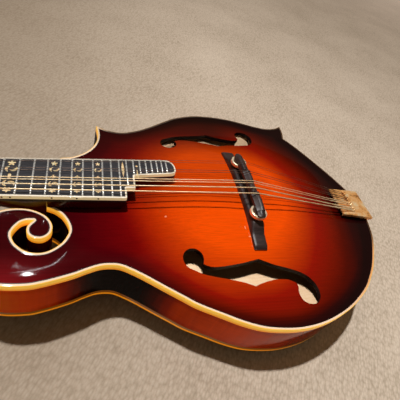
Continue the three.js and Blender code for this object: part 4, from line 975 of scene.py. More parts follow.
def clockwise(line):
    """A closed line turned round if it runs the other way."""
    x, y = line.T
    return line[::-1] if (x * np.roll(y, -1) - y * np.roll(x, -1)).sum() > 0 else line


def circle(sides):
    """Angles in even steps round a circle."""
    return 2 * math.pi * np.arange(sides) / sides


def disc_line(x, y, radius, sides=24):
    """A closed ring of points round a centre."""
    way = circle(sides)
    return np.column_stack([x + radius * np.cos(way), y + radius * np.sin(way)])


def black_veneer():
    """Black lacquered veneer: nearly even, with dust-fine scratches and faint clouds."""
    finish = Finish("black_veneer")
    cloud = finish.noise(finish.here(), 30.0, 3.0)
    fine = finish.noise(finish.here(), 900.0, 2.0)
    colour = finish.ramp(cloud, (0.3, "#0a090c"), (0.7, "#191619"))
    return finish.coat(colour, 0.1 + fine * 0.12, coat_weight=1.0, coat_roughness=0.04,
                       normal=finish.bump(fine, 0.03, 0.05), specular_ior_level=0.2)


BLACK_VENEER = black_veneer()
head_line = np.vstack([spline(np.array(HEAD_SHARES) * (-HEAD_LENGTH, HEAD_WIDTH), 5),
                       [(0, -0.168 * HEAD_WIDTH)]])
HEAD_OUTLINE = Outline(clockwise(head_line))
post_holes = [disc_line(x, y, POST_HOLE) for _, _, x, y in POSTS]
cut_piece("head_core", [open_line(HEAD_OUTLINE.inward(GLUE_LINE))] + post_holes,
          -VENEER_THICKNESS - GLUE_LINE, HEAD_BACK, 6, NECK_LACQUER, slot="neck_lacquer",
          place=HEAD, bevel=0.7)
cut_piece("head_face", [open_line(HEAD_OUTLINE.inward(HEAD_BINDING))] + post_holes, 0,
          -VENEER_THICKNESS, 6, BLACK_VENEER, slot="black_veneer", replaces=["head_veneer"],
          place=HEAD)
ring_piece("head_binding", [
    (HEAD_BINDING - PROUD, PROUD), (0.3, PROUD), (0.1, -0.1), (0, -0.3),
    (0, -VENEER_THICKNESS), (HEAD_BINDING - PROUD, -VENEER_THICKNESS)], AGED_BINDING,
    face=[1, 1, 0.5, 0, 0, 0], outline=HEAD_OUTLINE, place=HEAD, slot="aged_binding")
COVER_SHARES = [[0, 0.5], [0.25, 0.5], [0.45, 0.38], [0.7, 0.34], [0.88, 0.2], [1, 0],
                [0.88, -0.2], [0.7, -0.34], [0.45, -0.38], [0.25, -0.5], [0, -0.5]]
cover_line = spline(np.array(COVER_SHARES) * COVER_SIZE + (COVER_FROM, 0), 5) * (-1, 1)
cut_piece("rod_cover", [cover_line], 1.4, 0.2, 4, BLACK_VENEER, slot="black_veneer",
          replaces=["truss_rod_cover"], place=HEAD, bevel=0.35)

# The fingerboard: ebony with cream binding let into its edge. Its last inches carry on over
# the top on the treble side alone and end in a round, with a small step where they begin.
BOARD_BINDING = 1.3
BOARD_BINDING_DEPTH = 3.0
FULL_BOARD = 0.857 * BOARD_LENGTH
NUB_END = 0.881 * BOARD_LENGTH
# the cut-back bass side, in shares of the board's half: up to the step, after it and at the end
NUB_SIDE, LEAN_START, LEAN_END = -0.5, 0.13, 0.27


def ebony(name="ebony", light="#2b2a31", dark="#121116", gloss=0.42):
    """Ebony: blue-black with short pores along the grain and a dull hand polish."""
    finish = Finish(name)
    pore = finish.grain((9, 0.5, 0.5), 3.0, 0.7)
    cloud = finish.grain((60, 14, 14))
    colour = finish.ramp((pore * 0.6 + cloud * 0.4).clamped(), (0.38, dark), (0.66, light))
    return finish.coat(colour, gloss + (pore - 0.5) * 0.25, specular_ior_level=0.45,
                       normal=finish.bump(pore, 0.2, 0.08))


EBONY = ebony()
BOARD_OUTLINE = Outline(rounded([
    (0, board_half(0), 0), (BOARD_LENGTH, board_half(BOARD_LENGTH), 11),
    (BOARD_LENGTH, LEAN_END * board_half(BOARD_LENGTH), 4.5),
    (NUB_END, LEAN_START * board_half(NUB_END), 0.5),
    (NUB_END, NUB_SIDE * board_half(NUB_END), 1.2),
    (FULL_BOARD, NUB_SIDE * board_half(FULL_BOARD), 0.5),
    (FULL_BOARD, -board_half(FULL_BOARD), 1.5), (0, -board_half(0), 0)]))
cut_piece("fingerboard", [open_line(BOARD_OUTLINE.inward(BOARD_BINDING))], 0,
          -BOARD_THICKNESS, 12, EBONY, slot="ebony", replaces=["fretboard"], place=NECK)
foot_top, foot_in = -BOARD_BINDING_DEPTH - PROUD, BOARD_BINDING - GLUE_LINE
ring_piece("fingerboard_foot", [(0, foot_top), (foot_in, foot_top),
                                (foot_in, -BOARD_THICKNESS), (0, -BOARD_THICKNESS)],
           EBONY, outline=BOARD_OUTLINE, place=NECK, slot="ebony")
CREAM_BINDING = aged_binding("cream_binding", side="#e3cf9f", deep="#caa968", face="#f6eedd")
ring_piece("board_edge", [
    (BOARD_BINDING, 0), (0.25, 0), (0.07, -0.07), (0, -0.25), (0, -BOARD_BINDING_DEPTH),
    (BOARD_BINDING, -BOARD_BINDING_DEPTH)], CREAM_BINDING, outline=BOARD_OUTLINE, place=NECK,
    face=[1, 1, 0.6, 0, 0, 0], slot="aged_binding", replaces=["fretboard_binding"])

# The frets: nickel-silver wire hammered into sawn slots, crowned and filed round at their
# ends, 29 of them; the spaces shrink by the same share from each to the next.
FRET_COUNT = 29
FRET_WIDTH = 1.3
FRET_HEIGHT = 1.0
FRET_SHOULDER = 0.15
FRET_TANG = 0.4
FRET_INSET = BOARD_BINDING + 0.15
# the board's round end: its length, and twice the radius of the curve that the frets follow
ROUND_LENGTH, ROUND_BEND = 9, 14
# rows across a fret: which end, how far in from it and the crown's share of height
FRET_ENDS = np.array([[0, 0.0, 0.35], [0, 0.6, 1.0], [1, -0.6, 1.0], [1, 0.0, 0.35]])


def fret_x(number):
    """The place of a fret: the string left over halves every twelve frets."""
    return SCALE_LENGTH * (1 - 2 ** (-np.asarray(number, float) / 12))


def bright_metal(name, light, dark, rough, scale=400.0, tarnish=0.5):
    """Polished metal: fine scratches, and darker patches where it has tarnished."""
    finish = Finish(name)
    scratch = finish.noise(finish.here(), scale * 3, 2.0)
    patch = finish.noise(finish.here(), scale, 4.0, 0.6)
    colour = finish.ramp((patch * tarnish + scratch * (1 - tarnish)).clamped(),
                         (0.35, dark), (0.6, light))
    return finish.coat(colour, rough + (patch - 0.5) * 0.2, 0.55,
                       normal=finish.bump(scratch, 0.08, 0.05))


def fret_rows():
    """Sections of every fret: a round crown on a foot in the board, low at both ends. The
    last frets are cut back by the board's round end and by its bass side."""
    centre = fret_x(np.arange(1, FRET_COUNT + 1))
    half = board_half(centre)
    into_round = (centre - (BOARD_LENGTH - ROUND_LENGTH)).clip(0)
    outer = half - FRET_INSET - into_round**2 / ROUND_BEND
    lean = (centre - NUB_END) / (BOARD_LENGTH - NUB_END)
    inner = FRET_INSET + half * np.where(centre < FULL_BOARD - 1, -1, np.where(
        centre < NUB_END - 1, NUB_SIDE, LEAN_START + (LEAN_END - LEAN_START) * lean))
    bow = np.linspace(0, math.pi, 7)
    crown_x = FRET_WIDTH / 2 * np.concatenate([[1], np.cos(bow), [-1]])
    crown_z = np.concatenate([[-FRET_TANG], FRET_SHOULDER + (FRET_HEIGHT - FRET_SHOULDER)
                              * np.sin(bow), [-FRET_TANG]])
    across = (inner[:, None] + (outer - inner)[:, None] * FRET_ENDS[:, 0] + FRET_ENDS[:, 1])
    rise = crown_z.clip(0) * FRET_ENDS[:, 2:] + crown_z.clip(None, 0)
    return np.stack(np.broadcast_arrays(centre[:, None, None] + crown_x, across[:, :, None],
                                        rise[None]), -1)


def joined(parts):
    """Several closed surfaces as one list of points and faces."""
    points, faces, start = [], [], 0
    for each, sides in parts:
        points.append(each)
        faces += [[corner + start for corner in side] for side in sides]
        start += len(each)
    return np.concatenate(points), faces


NICKEL = bright_metal("nickel_silver", "#f6f6f2", "#c9cbc8", 0.28)
piece("frets", *joined(map(sealed, fret_rows())), NICKEL, slot="ebony", place=NECK, crease=50)

# The marks of the fingerboard: mother-of-pearl let flush into the ebony in the old scroll
# and leaf manner at the 3rd, 5th, 7th, 10th, 12th, 15th, 17th, 19th, 22nd and 24th frets,
# and dark dots in the edge binding for the player.
INLAY_PROUD = 0.04
INLAY_DEPTH = 0.3
WIDEST_INLAY = 17
MARKED_FRETS = (3, 5, 7, 10, 12, 15, 17, 19, 22, 24)
DOTTED_FRETS = MARKED_FRETS[:8]
DOT_RADIUS = 0.75
DOT_STEP = 2.6
DOT_Z = -1.55
DOT_PROUD = 0.03
DOT_DEPTH = 0.4


def petals(x, y, radius, lobes, waist, swing, sides=40):
    """A flower's outline: a circle whose radius swells once for each petal."""
    way = circle(sides)
    reach = radius * (1 - waist * (0.5 - 0.5 * np.cos(lobes * (way - swing))))
    return np.column_stack([x + reach * np.cos(way), y + reach * np.sin(way)])


def ribbon(x, y, size, bend, start, widest, steps=18):
    """A leaf or curl: a strip along a spiral that bends by an angle, widest in its middle
    and pointed at both ends."""
    t = np.linspace(0, 1, steps)
    way = start + bend * t**1.4
    spine = np.cumsum(size / steps * np.column_stack([np.cos(way), np.sin(way)]), 0)
    spine += (x, y) - spine.mean(0)
    side = np.column_stack([-np.sin(way), np.cos(way)]) * (widest * np.sin(
        math.pi * (0.03 + 0.94 * t)) / 2)[:, None]
    return np.vstack([spine + side, (spine - side)[::-1]])


def marks_at(fret):
    """The inlays behind a fret, as shares of the fret's space and of the board's half: a
    flower at each side and one in the middle, with leaves between them."""
    low, high = fret_x([fret - 1, fret])
    x, span = (low + high) / 2, min(high - low, WIDEST_INLAY)
    half = float(board_half(x))
    if fret == 24:
        return [disc_line(x, 0.62 * half, 0.18 * span, 20),
                ribbon(x, 0.2 * half, 0.5 * half, 0.0, math.pi / 2, 0.24 * span)]
    if fret == 22:
        return [ribbon(x, 0.45 * half, 0.85 * half, 0.0, math.pi / 2, 0.34 * span)]
    marks = []
    for side in (1, -1):
        y = side * half
        marks += [petals(x, 0.7 * y, 0.27 * span, 5, 0.5, side * math.pi / 2),
                  ribbon(x + 0.2 * span, 0.36 * y, 0.75 * span, side * 2.6, -side * 0.6,
                         0.2 * span),
                  ribbon(x - 0.21 * span, 0.38 * y, 0.7 * span, -side * 2.2, side * 2.4,
                         0.18 * span)]
    return marks + [petals(x, 0, 0.22 * span, 4 if fret % 2 else 2, 0.6, math.pi / 2)]


def pearl(name="mother_of_pearl", low="#c09a5e", high="#f6dfae", blush="#e8b58f"):
    """Mother of pearl: cream with soft green and rose bands and a fine silky flow."""
    finish = Finish(name)
    flow = finish.noise(finish.here(), 420.0, 3.0, 0.5, 1.5)
    band = finish.noise(finish.here(), 160.0, 2.0, 0.5, 3.0)
    colour = finish.ramp(flow, (0.35, low), (0.6, high))
    colour = finish.mix(band.rise(0.5, 0.65) * 0.6, colour, blush)
    colour = finish.mix((1 - band).rise(0.55, 0.7) * 0.5, colour, "#b9cbb0")
    return finish.coat(colour, 0.2 + flow * 0.15, coat_weight=0.7, coat_roughness=0.05)


def side_dots():
    """Round dots let into the edge on the bass side: two at the 12th fret, else one."""
    for fret in DOTTED_FRETS:
        for step in (-DOT_STEP, DOT_STEP) if fret == 12 else (0,):
            x, z = disc_line(fret_x([fret - 1, fret]).mean() + step, DOT_Z, DOT_RADIUS, 12).T
            yield sealed(np.stack([np.column_stack([x, -board_half(x) - depth, z])
                                   for depth in (DOT_PROUD, -DOT_DEPTH)]))


PEARL = pearl()
piece("fret_marks", *joined(slab([mark], INLAY_PROUD, -INLAY_DEPTH, 50)[:2]
                            for fret in MARKED_FRETS for mark in marks_at(fret)),
      PEARL, slot="pearl_button", place=NECK)
piece("side_dots", *joined(side_dots()), BLACK_LINE, place=NECK)

# The strings' courses: four pairs from the posts over the nut and the bridge to the
# tailpiece, the two high pairs of plain steel and the two low ones wound with bronze.
THINNEST = 0.3
GAUGES = (1, 1.4, 2.33, 3.5)
NUT_SPREAD, BRIDGE_SPREAD, TAIL_SPREAD = 22.5, 39, 24
NUT_PAIR, BRIDGE_PAIR, TAIL_PAIR = 2.1, 2.6, 2.6
LOW_NUT_PAIR, LOW_BRIDGE_PAIR = 3.4, 6.4
NUMBER = np.arange(8)
COURSE = NUMBER // 2
STRING_RADII = THINNEST * np.array(GAUGES)[COURSE] / 2


def string_ys(spread, pair, low_pair):
    """The strings' places across: even steps from course to course over the spread, and a
    pair's width within each, which is another one in the lowest course."""
    pair = np.where(COURSE == 3, low_pair, pair)
    return (0.5 - COURSE / 3) * (spread - pair) + np.where(NUMBER % 2, -0.5, 0.5) * pair


def string_dips(across, ys, room):
    """1 at each string's place and 0 between them, with steep flanks."""
    return np.exp(-((across[:, None] - ys) / (room + STRING_RADII))**4).max(1)


NUT_YS = string_ys(NUT_SPREAD, NUT_PAIR, LOW_NUT_PAIR)
BRIDGE_YS = string_ys(BRIDGE_SPREAD, BRIDGE_PAIR, LOW_BRIDGE_PAIR)
TAIL_YS = string_ys(TAIL_SPREAD, TAIL_PAIR, TAIL_PAIR)

# The nut: a strip of bone glued against the end of the fingerboard, with a filed slot for
# each string.
NUT_HEIGHT = 1.5
NUT_SLOT = 0.55
NUT_ROUND, NUT_FALL, NUT_EASE = 1.2, 0.8, 0.35
NUT_STEPS = 233
SLOT_ROOM = 0.18
# the section along x, and the share of the crest's height that each place reaches
NUT_SECTION = np.array([[-0.2, -0.2, -0.5, -2.2, -4.0, -4.6, -4.7, -4.7],
                        [0, 0.8, 1.0, 0.97, 0.85, 0.6, 0.3, 0]])


def bone():
    """Bone: warm white with fine grey pores and a yellow tinge."""
    finish = Finish("bone")
    pore = finish.grain((0.5, 2.5, 0.4), 3.0, 0.7)
    colour = finish.ramp(pore, (0.3, "#cdbf9c"), (0.5, "#ebe2c9"), (0.8, "#f4eedd"))
    return finish.coat(colour, 0.35 + pore * 0.1, coat_weight=0.3, coat_roughness=0.1)


def nut_rows():
    """Sections across the nut: the crest dips at each string and falls at both ends."""
    across = np.linspace(-NUT_WIDTH / 2, NUT_WIDTH / 2, NUT_STEPS)
    fall = ((np.abs(across) - NUT_WIDTH / 2 + NUT_ROUND).clip(0) / NUT_ROUND)**2 * NUT_FALL
    slots = string_dips(across, NUT_YS, SLOT_ROOM)
    crest = (NUT_HEIGHT + NUT_SLOT * (1 - slots) - fall)[:, None]
    x, share = NUT_SECTION
    face = np.minimum(crest * np.where(share > 0.5, 1, share), crest - (1 - share) * NUT_EASE)
    z = np.where(share > 0, face, GLUE_GAP - BOARD_THICKNESS)
    return np.stack(np.broadcast_arrays(x, across[:, None], z), -1)


piece("nut_bone", *sealed(nut_rows()), bone(), slot="bone", replaces=["nut"], place=NECK,
      crease=50)

# The bridge: an ebony base fitted to the arch, two threaded brass posts screwed into it,
# a knurled wheel on each, and an ebony saddle that rides on the wheels. Turning the wheels
# raises or lowers it; its crest is stepped so that each course plays in tune.
BRIDGE_X = BODY_START + BRIDGE_SHARE * BODY_LENGTH
BRIDGE_Y = -3.5
BRIDGE_LENGTH = 114
BRIDGE_WIDTH = 12
WHEEL_SPREAD = 60
WHEEL_YS = {"bass": BRIDGE_Y - WHEEL_SPREAD / 2, "treble": BRIDGE_Y + WHEEL_SPREAD / 2}
WHEEL_RADIUS = 7.4
WHEEL_THICKNESS = 3.4
BRIDGE_POST = 1.6
BASE_STEPS, SADDLE_STEPS = 71, 173
BASE_MIDDLE = 5
BASE_END = 3
END_ROUND = 3
# where the base begins to fall and over how far, in shares of its length
FALL_FROM, FALL_OVER = 0.3, 0.1
WHEEL_LOW = TOP_ARCH + BASE_MIDDLE + WHEEL_THICKNESS / 2
SADDLE_TOP = TOP_ARCH + 16
SADDLE_LOW = WHEEL_LOW + WHEEL_THICKNESS + GLUE_GAP
SADDLE_LENGTH = 76
SADDLE_HALF = 3.5
LEAST_SADDLE = 0.4
NOTCH_ROOM = NOTCH_DEPTH = 0.25
SADDLE_DROP = 1.5
THREAD_PITCH = 0.8
THREAD_DEPTH = 0.22
KNURLS = 40
KNURL_DEPTH = 0.16
# the base's section: shares of its half width and of its height
BASE_SECTION = np.array([[-1, -1, -0.93, -0.74, -0.6, 0.6, 0.74, 0.93, 1, 1],
                         [0, 0.5, 0.78, 0.97, 1, 1, 0.97, 0.78, 0.5, 0]])
# the saddle's outline from the side: shares of its length and of its height
SADDLE_UPPER = ([-0.5, -0.49, -0.46, -0.38, -0.27, 0.27, 0.38, 0.46, 0.49, 0.5],
                [0.3, 0.45, 0.62, 0.86, 1, 1, 0.86, 0.62, 0.45, 0.3])
SADDLE_UNDER = ([-0.5, -0.485, -0.47, -0.2, -0.16, 0.16, 0.2, 0.47, 0.485, 0.5],
                [0.3, 0.12, 0, 0, 0.14, 0.14, 0, 0, 0.12, 0.3])
# where the crest steps, and its place along the string between the steps
STEP_AT = np.array([-50, -13.1, -12.9, 0.1, 0.3, 12.9, 13.1, 50.0])
STEP_X = np.array([1.4, 1.4, -1.0, -1.0, 1.2, 1.2, -1.2, -1.2])
# a wheel's rows: radius, share of its thickness and share of the knurl's depth
WHEEL_PROFILE = np.array([
    (BRIDGE_POST + 0.25, 0.5, 0), (2.3, 0.5, 0), (2.5, 0.42, 0), (5.4, 0.42, 0), (5.6, 0.5, 0),
    (WHEEL_RADIUS - 0.6, 0.5, 0), (WHEEL_RADIUS - 0.15, 0.42, 0.5), (WHEEL_RADIUS, 0.33, 1),
    (WHEEL_RADIUS, -0.33, 1), (WHEEL_RADIUS - 0.15, -0.42, 0.5), (WHEEL_RADIUS - 0.6, -0.5, 0),
    (BRIDGE_POST + 0.25, -0.5, 0)])


def end_taper(away, half, least):
    """1 along a bar and a quarter circle down at its end, but no less than a least root."""
    return np.sqrt((1 - ((away - half + END_ROUND).clip(0) / END_ROUND)**2).clip(least))


def base_rows():
    """Sections across the base: the foot follows the top, and the roof is level under the
    wheels and falls to both ends in a soft step."""
    swing = np.linspace(-math.pi / 2, math.pi / 2, BASE_STEPS)
    across = BRIDGE_Y + BRIDGE_LENGTH / 2 * np.sin(swing)
    away = np.abs(across - BRIDGE_Y)
    fall = ((away / BRIDGE_LENGTH - FALL_FROM) / FALL_OVER).clip(0, 1)
    fall = fall * fall * (3 - 2 * fall)
    tip = end_taper(away, BRIDGE_LENGTH / 2, 0.2)
    width, share = BASE_SECTION
    x = BRIDGE_X + width * BRIDGE_WIDTH / 2 * (0.9 + 0.1 * tip[:, None])
    across = np.broadcast_to(across[:, None], x.shape)
    foot = top_z(x, across) + GLUE_GAP
    roof = (1 - fall) * (TOP_ARCH + BASE_MIDDLE) + fall * (foot.max(1) + BASE_END * tip)
    return np.stack([x, across, foot + (roof[:, None] - foot) * share], -1)


def saddle_rows():
    """Sections across the saddle: two feet with a hollow between them, and a crest with
    notches for the strings that steps forward and back."""
    across = np.unique(np.concatenate([
        np.linspace(-0.5, 0.5, SADDLE_STEPS) * SADDLE_LENGTH, STEP_AT[1:-1]]))
    high, low = (SADDLE_LOW + np.interp(across / SADDLE_LENGTH, *shares)
                 * (SADDLE_TOP - SADDLE_LOW) for shares in (SADDLE_UPPER, SADDLE_UNDER))
    notches = string_dips(across, BRIDGE_YS - BRIDGE_Y, NOTCH_ROOM) * (high > SADDLE_TOP - 0.3)
    high = np.maximum(high - NOTCH_DEPTH * notches, low + LEAST_SADDLE)
    crest = np.interp(across, STEP_AT, STEP_X) * (high > SADDLE_TOP - 1.5)
    end = end_taper(np.abs(across), SADDLE_LENGTH / 2, 0.08)
    waist, brow = low + (high - low) * 0.5, high - 0.9 * end
    columns = [(-SADDLE_HALF, low), (SADDLE_HALF, low), (SADDLE_HALF, waist),
               (crest + 1.9, brow), (crest + 1.1, high - 0.1), (crest, high),
               (crest - 1.1, high - 0.1), (crest - 1.9, brow), (-SADDLE_HALF, waist)]
    return np.stack([np.column_stack([BRIDGE_X + x * end, BRIDGE_Y + across, z])
                     for x, z in columns], 1)


def circles(radii, heights, way):
    """Rows of points round z, one for each height; a radius may vary on its way round."""
    radii, heights, way = np.broadcast_arrays(radii, np.asarray(heights, float)[:, None], way)
    return np.stack([radii * np.cos(way), radii * np.sin(way), heights], -1)


def turned(profile, sides):
    """A solid turned about z from pairs of radius and height."""
    radii, heights = np.array(profile, float).T
    return sealed(circles(radii[:, None], heights, circle(sides)))


def turned_ring(profile, way, wave=0.0):
    """A ring turned about z, with a bore. Its rows are a radius, a height and the share of
    the wave that is added to the radius."""
    radii, heights, shares = np.array(profile, float).T
    rows = circles(radii[:, None] + shares[:, None] * wave, heights, way)
    return rows.reshape(-1, 3), quads(*rows.shape[:2], True).tolist()


def thread(radius, depth, pitch, low, high, steps=5, sides=18):
    """A screw: a round bar whose radius falls and rises once in each pitch, with the phase
    turning once round it."""
    z = np.arange(low, high + pitch / steps / 2, pitch / steps)[:, None]
    way = circle(sides)
    phase = (z / pitch - way / (2 * math.pi)) % 1
    reach = radius - depth * np.abs(2 * phase - 1) * (z > low) * (z < high - pitch / steps)
    return sealed(circles(reach, z[:, 0], way))


WORN_EBONY = ebony("worn_ebony", "#46332f", "#150d0e", 0.45)
BRASS = bright_metal("wheel_brass", "#ecd9ae", "#b08d4e", 0.3)
WHEEL_BRASS = bright_metal("worn_brass", "#fff0d6", "#d8b888", 0.3)
DULL_BRASS = bright_metal("dull_brass", "#6b4a36", "#2c1a14", 0.45)
piece("bridge_foot", *sealed(base_rows()), WORN_EBONY, slot="ebony", replaces=["bridge_base"])
piece("saddle_bar", *sealed(saddle_rows()), WORN_EBONY, body="saddle", slot="ebony",
      replaces=["bridge_saddle"], crease=40)
knurl_way = circle(KNURLS * 4)
wheel, wheel_faces = turned_ring(WHEEL_PROFILE * (1, WHEEL_THICKNESS, 1), knurl_way,
                                 KNURL_DEPTH * (0.5 * np.cos(KNURLS * knurl_way) - 0.5))
wheel_inks = np.repeat([0, 1, 1, 1] + [0] * 8, len(knurl_way))
for side, y in WHEEL_YS.items():
    piece(f"wheel_{side}", wheel + (BRIDGE_X, y, WHEEL_LOW + WHEEL_THICKNESS / 2), wheel_faces,
          [WHEEL_BRASS, DULL_BRASS], body=f"thumbwheel_{side}", slot="brass_screw",
          inks=wheel_inks, replaces=[f"thumbwheel_{side}"], crease=40)
    foot = float(top_z(np.array(BRIDGE_X), np.array(y))) + BASE_END / 2
    points, faces = thread(BRIDGE_POST, THREAD_DEPTH, THREAD_PITCH, foot,
                           SADDLE_LOW - SADDLE_DROP - 0.1)
    piece(f"threaded_post_{side}", points + (BRIDGE_X, y, 0), faces, BRASS,
          slot="brass_screw", replaces=[f"bridge_post_{side}"], crease=25)

# The tailpiece: one plate of gilt brass bent over the end of the body, its long edges turned
# down, with a row of eight punched-up hooks for the loop ends. Its tab is held by the
# strap pin and two screws; the gilding has worn to an old dull gold.
TAIL_SHEET = 1.2
TAIL_LENGTH = 39
TAIL_WIDTH = 37
TAIL_FRONT, TAIL_REAR = 7.0, 5.2
TAIL_DROP = 32
TAIL_BACK = TAIL_X + 0.4 + TAIL_SHEET
BEND_RADIUS = 3.0
LIP_DEPTH = 1.6
LIP_WIDTH = 0.8
HOOK_X = TAIL_X - 24
HOOK_HEIGHT = 2.4
HOOK_WIRE = 0.62
PIN_Z = -RIM_DEPTH / 2
TAB_SCREW_Y, TAB_SCREW_Z = 7.5, -14
# the tab's half width as shares of the plate's, at heights over the rim
TAB_SHARES = ([-32, -31, -29, -7, -3.5, TAIL_REAR - BEND_RADIUS], [0.3, 0.45, 0.6, 0.62, 0.8, 1])
# round the sheet's section: the side, how far in, how deep, and whether it lies on the lip
TAIL_SECTION = np.array([
    (-1, 0, TAIL_SHEET, 1), (-1, 0, 0.35, 0), (-1, 0.4, 0, 0), (1, 0.4, 0, 0), (1, 0, 0.35, 0),
    (1, 0, TAIL_SHEET, 1), (1, LIP_WIDTH, TAIL_SHEET, 1), (1, LIP_WIDTH + 0.01, TAIL_SHEET, 0),
    (-1, LIP_WIDTH + 0.01, TAIL_SHEET, 0), (-1, LIP_WIDTH, TAIL_SHEET, 1)])
# turned profiles: the radius and the distance out from the end of the body
PIN_PROFILE = [(0.01, -15.9), (2.9, -15.9), (3, -15), (3, 2), (4.0, 2.3), (4.25, 2.9),
               (3.9, 3.5), (3.1, 4.3), (2.7, 5.6), (2.9, 6.8), (4, 8.2), (5.9, 8.9), (6.5, 9.8),
               (6.45, 10.8), (5.8, 11.6), (4, 12), (0.01, 12)]
SCREW_PROFILE = [(0.01, -9.9), (1.2, -9), (1.3, 1.75), (2.5, 1.8), (2.6, 2.1), (2.2, 2.7),
                 (1.3, 3.05), (0.01, 3.1)]


def old_gold():
    """Worn gilding: warm dull gold with brown tarnish in clouds and rubbed bright spots."""
    finish = Finish("old_gold")
    patch = finish.noise(finish.here(), 90.0, 5.0, 0.65)
    speck = finish.noise(finish.here(), 700.0, 3.0)
    brush = finish.grain((20, 0.4, 0.4))
    depth = (patch * 0.7 + speck * 0.2 + brush * 0.1).clamped()
    colour = finish.ramp(depth, (0.36, "#94602f"), (0.48, "#f8b56c"), (0.62, "#ffe4b4"))
    return finish.coat(colour, 0.34 + (0.5 - patch) * 0.5, 0.5,
                       normal=finish.bump(speck * 0.6 + brush * 0.4, 0.15, 0.08))


def plate_height(x):
    """The height of the tailpiece's upper side over the rim."""
    return np.interp(x, [TAIL_X - TAIL_LENGTH, TAIL_X - 3], [TAIL_FRONT, TAIL_REAR])


def tail_rows():
    """Sections along the plate, round its bend and down the tab. A lip under both long edges
    runs out at the bend."""
    flat = np.linspace(TAIL_X - TAIL_LENGTH, TAIL_BACK - BEND_RADIUS, 20)
    bend = np.linspace(0, math.pi / 2, 9)[1:-1]
    drop = np.linspace(TAIL_REAR - BEND_RADIUS, -TAIL_DROP, 18)
    x = np.concatenate([flat, TAIL_BACK - BEND_RADIUS * (1 - np.sin(bend)),
                        np.full(len(drop), TAIL_BACK)])
    z = np.concatenate([plate_height(flat), TAIL_REAR - BEND_RADIUS * (1 - np.cos(bend)), drop])
    run = unit(np.gradient(np.column_stack([x, z]), axis=0))
    half = TAIL_WIDTH / 2 * np.concatenate([
        np.linspace(0.93, 1, len(flat)), np.ones(len(bend)), np.interp(drop, *TAB_SHARES)])
    lip = np.concatenate([np.full(len(flat) - 1, LIP_DEPTH),
                          np.linspace(TAIL_SHEET, 0, len(bend) + 2), np.zeros(len(drop) - 1)])
    side, inset, deep, on_lip = TAIL_SECTION.T
    depth = deep + on_lip * lip[:, None]
    return np.stack([x[:, None] + run[:, 1:] * depth, side * (half[:, None] - inset),
                     z[:, None] - run[:, :1] * depth], -1)


def tube(path, radius, sides=8, lean=(0.0, 1.0, 0.0)):
    """A round bar along a path: rings at right angles to it, each point a radius away. The
    lean is a way that the path doesn't take."""
    path = np.asarray(path, float)
    run = unit(np.gradient(path, axis=0))
    across = unit(np.cross(lean, run))[:, None]
    third = np.cross(run[:, None], across)
    way = circle(sides)[:, None]
    radius = np.broadcast_to(radius, len(path))[:, None, None]
    return sealed(path[:, None] + radius * (across * np.cos(way) + third * np.sin(way)))


def at_tail(points, y=0, z=PIN_Z):
    """Points turned about z, laid along x from the end of the body."""
    x_way, y_way, z_way = np.asarray(points).T
    return np.column_stack([TAIL_X + z_way, y + y_way, z - x_way])


OLD_GOLD = old_gold()
piece("tail_plate", *sealed(tail_rows()), OLD_GOLD, slot="gold_plate", replaces=["tailpiece"])
hook_foot = float(plate_height(HOOK_X))
curl = np.linspace(0, 2.4, 8)
hook = np.vstack([[(0, 0, -0.6), (0, 0, 0.5)], np.column_stack([
    1 - np.cos(curl), np.zeros(8), HOOK_HEIGHT / 2 + 1.15 * np.sin(curl)])])
piece("tail_hooks", *joined(tube(hook + (HOOK_X, y, hook_foot), HOOK_WIRE) for y in TAIL_YS),
      OLD_GOLD, slot="gold_plate", crease=50)
points, faces = turned(PIN_PROFILE, 40)
piece("strap_pin", at_tail(points), faces, OLD_GOLD, slot="gold_plate", replaces=["end_pin"])
for side, y in (("bass", -TAB_SCREW_Y), ("treble", TAB_SCREW_Y)):
    points, faces = turned(SCREW_PROFILE, 24)
    piece(f"tab_screw_{side}", at_tail(points, y, TAB_SCREW_Z), faces, OLD_GOLD,
          slot="gold_plate", replaces=[f"tail_screw_{side}"])

# The tuners: a gilt plate on each side of the back of the head carries four worms; each
# turns a gear and its string post by one tooth a turn. The knobs are mother-of-pearl
# plastic, and a small bushing lines each post's hole in the face.
GEAR_TEETH = 14
GEAR_RADIUS = 5
GEAR_HALF = 1.29
WORM_RADIUS, WORM_LENGTH, WORM_THREAD = 2.4, 8.4, 0.7
WORM_GAP = WORM_RADIUS + 0.25
SHAFT_OFFSET = GEAR_RADIUS + WORM_GAP
SHAFT_RADIUS = 1.2
PLATE_FRONT = HEAD_BACK - GLUE_GAP
PLATE_BACK = PLATE_FRONT - 1.2
PLATE_HALF = 7.5
PLATE_MARGIN = 12
PLATE_BORE = 2.5
SCREW_FROM_END, SCREW_FROM_POSTS = 3.2, 4.6
SHAFT_Z = PLATE_BACK - WORM_GAP
BUTTON_START = HEAD_WIDTH * 0.385 - POST_Y + 4
BUTTON_SIZE = (3.25, 5.5, 7)
POST_RADIUS, POST_WAIST = 3, 2.3
POST_TOP = 9.5
POST_WAIST_AT = 5
LUG_HALF = 2.5
LUG_Y = 5.15
# a string post's profile: radius and height over the face of the head
POST_PROFILE = [
    (0.01, SHAFT_Z - GEAR_HALF), (POST_WAIST, SHAFT_Z - GEAR_HALF), (POST_WAIST, HEAD_BACK),
    (POST_RADIUS, HEAD_BACK + 0.02), (POST_RADIUS, 3), (2.75, 3.5), (2.35, 4.3),
    (POST_WAIST, POST_WAIST_AT), (2.35, 5.7), (2.75, 6.5), (POST_RADIUS, 7), (POST_RADIUS, 9),
    (2.8, 9.35), (2.4, POST_TOP), (0.01, POST_TOP)]
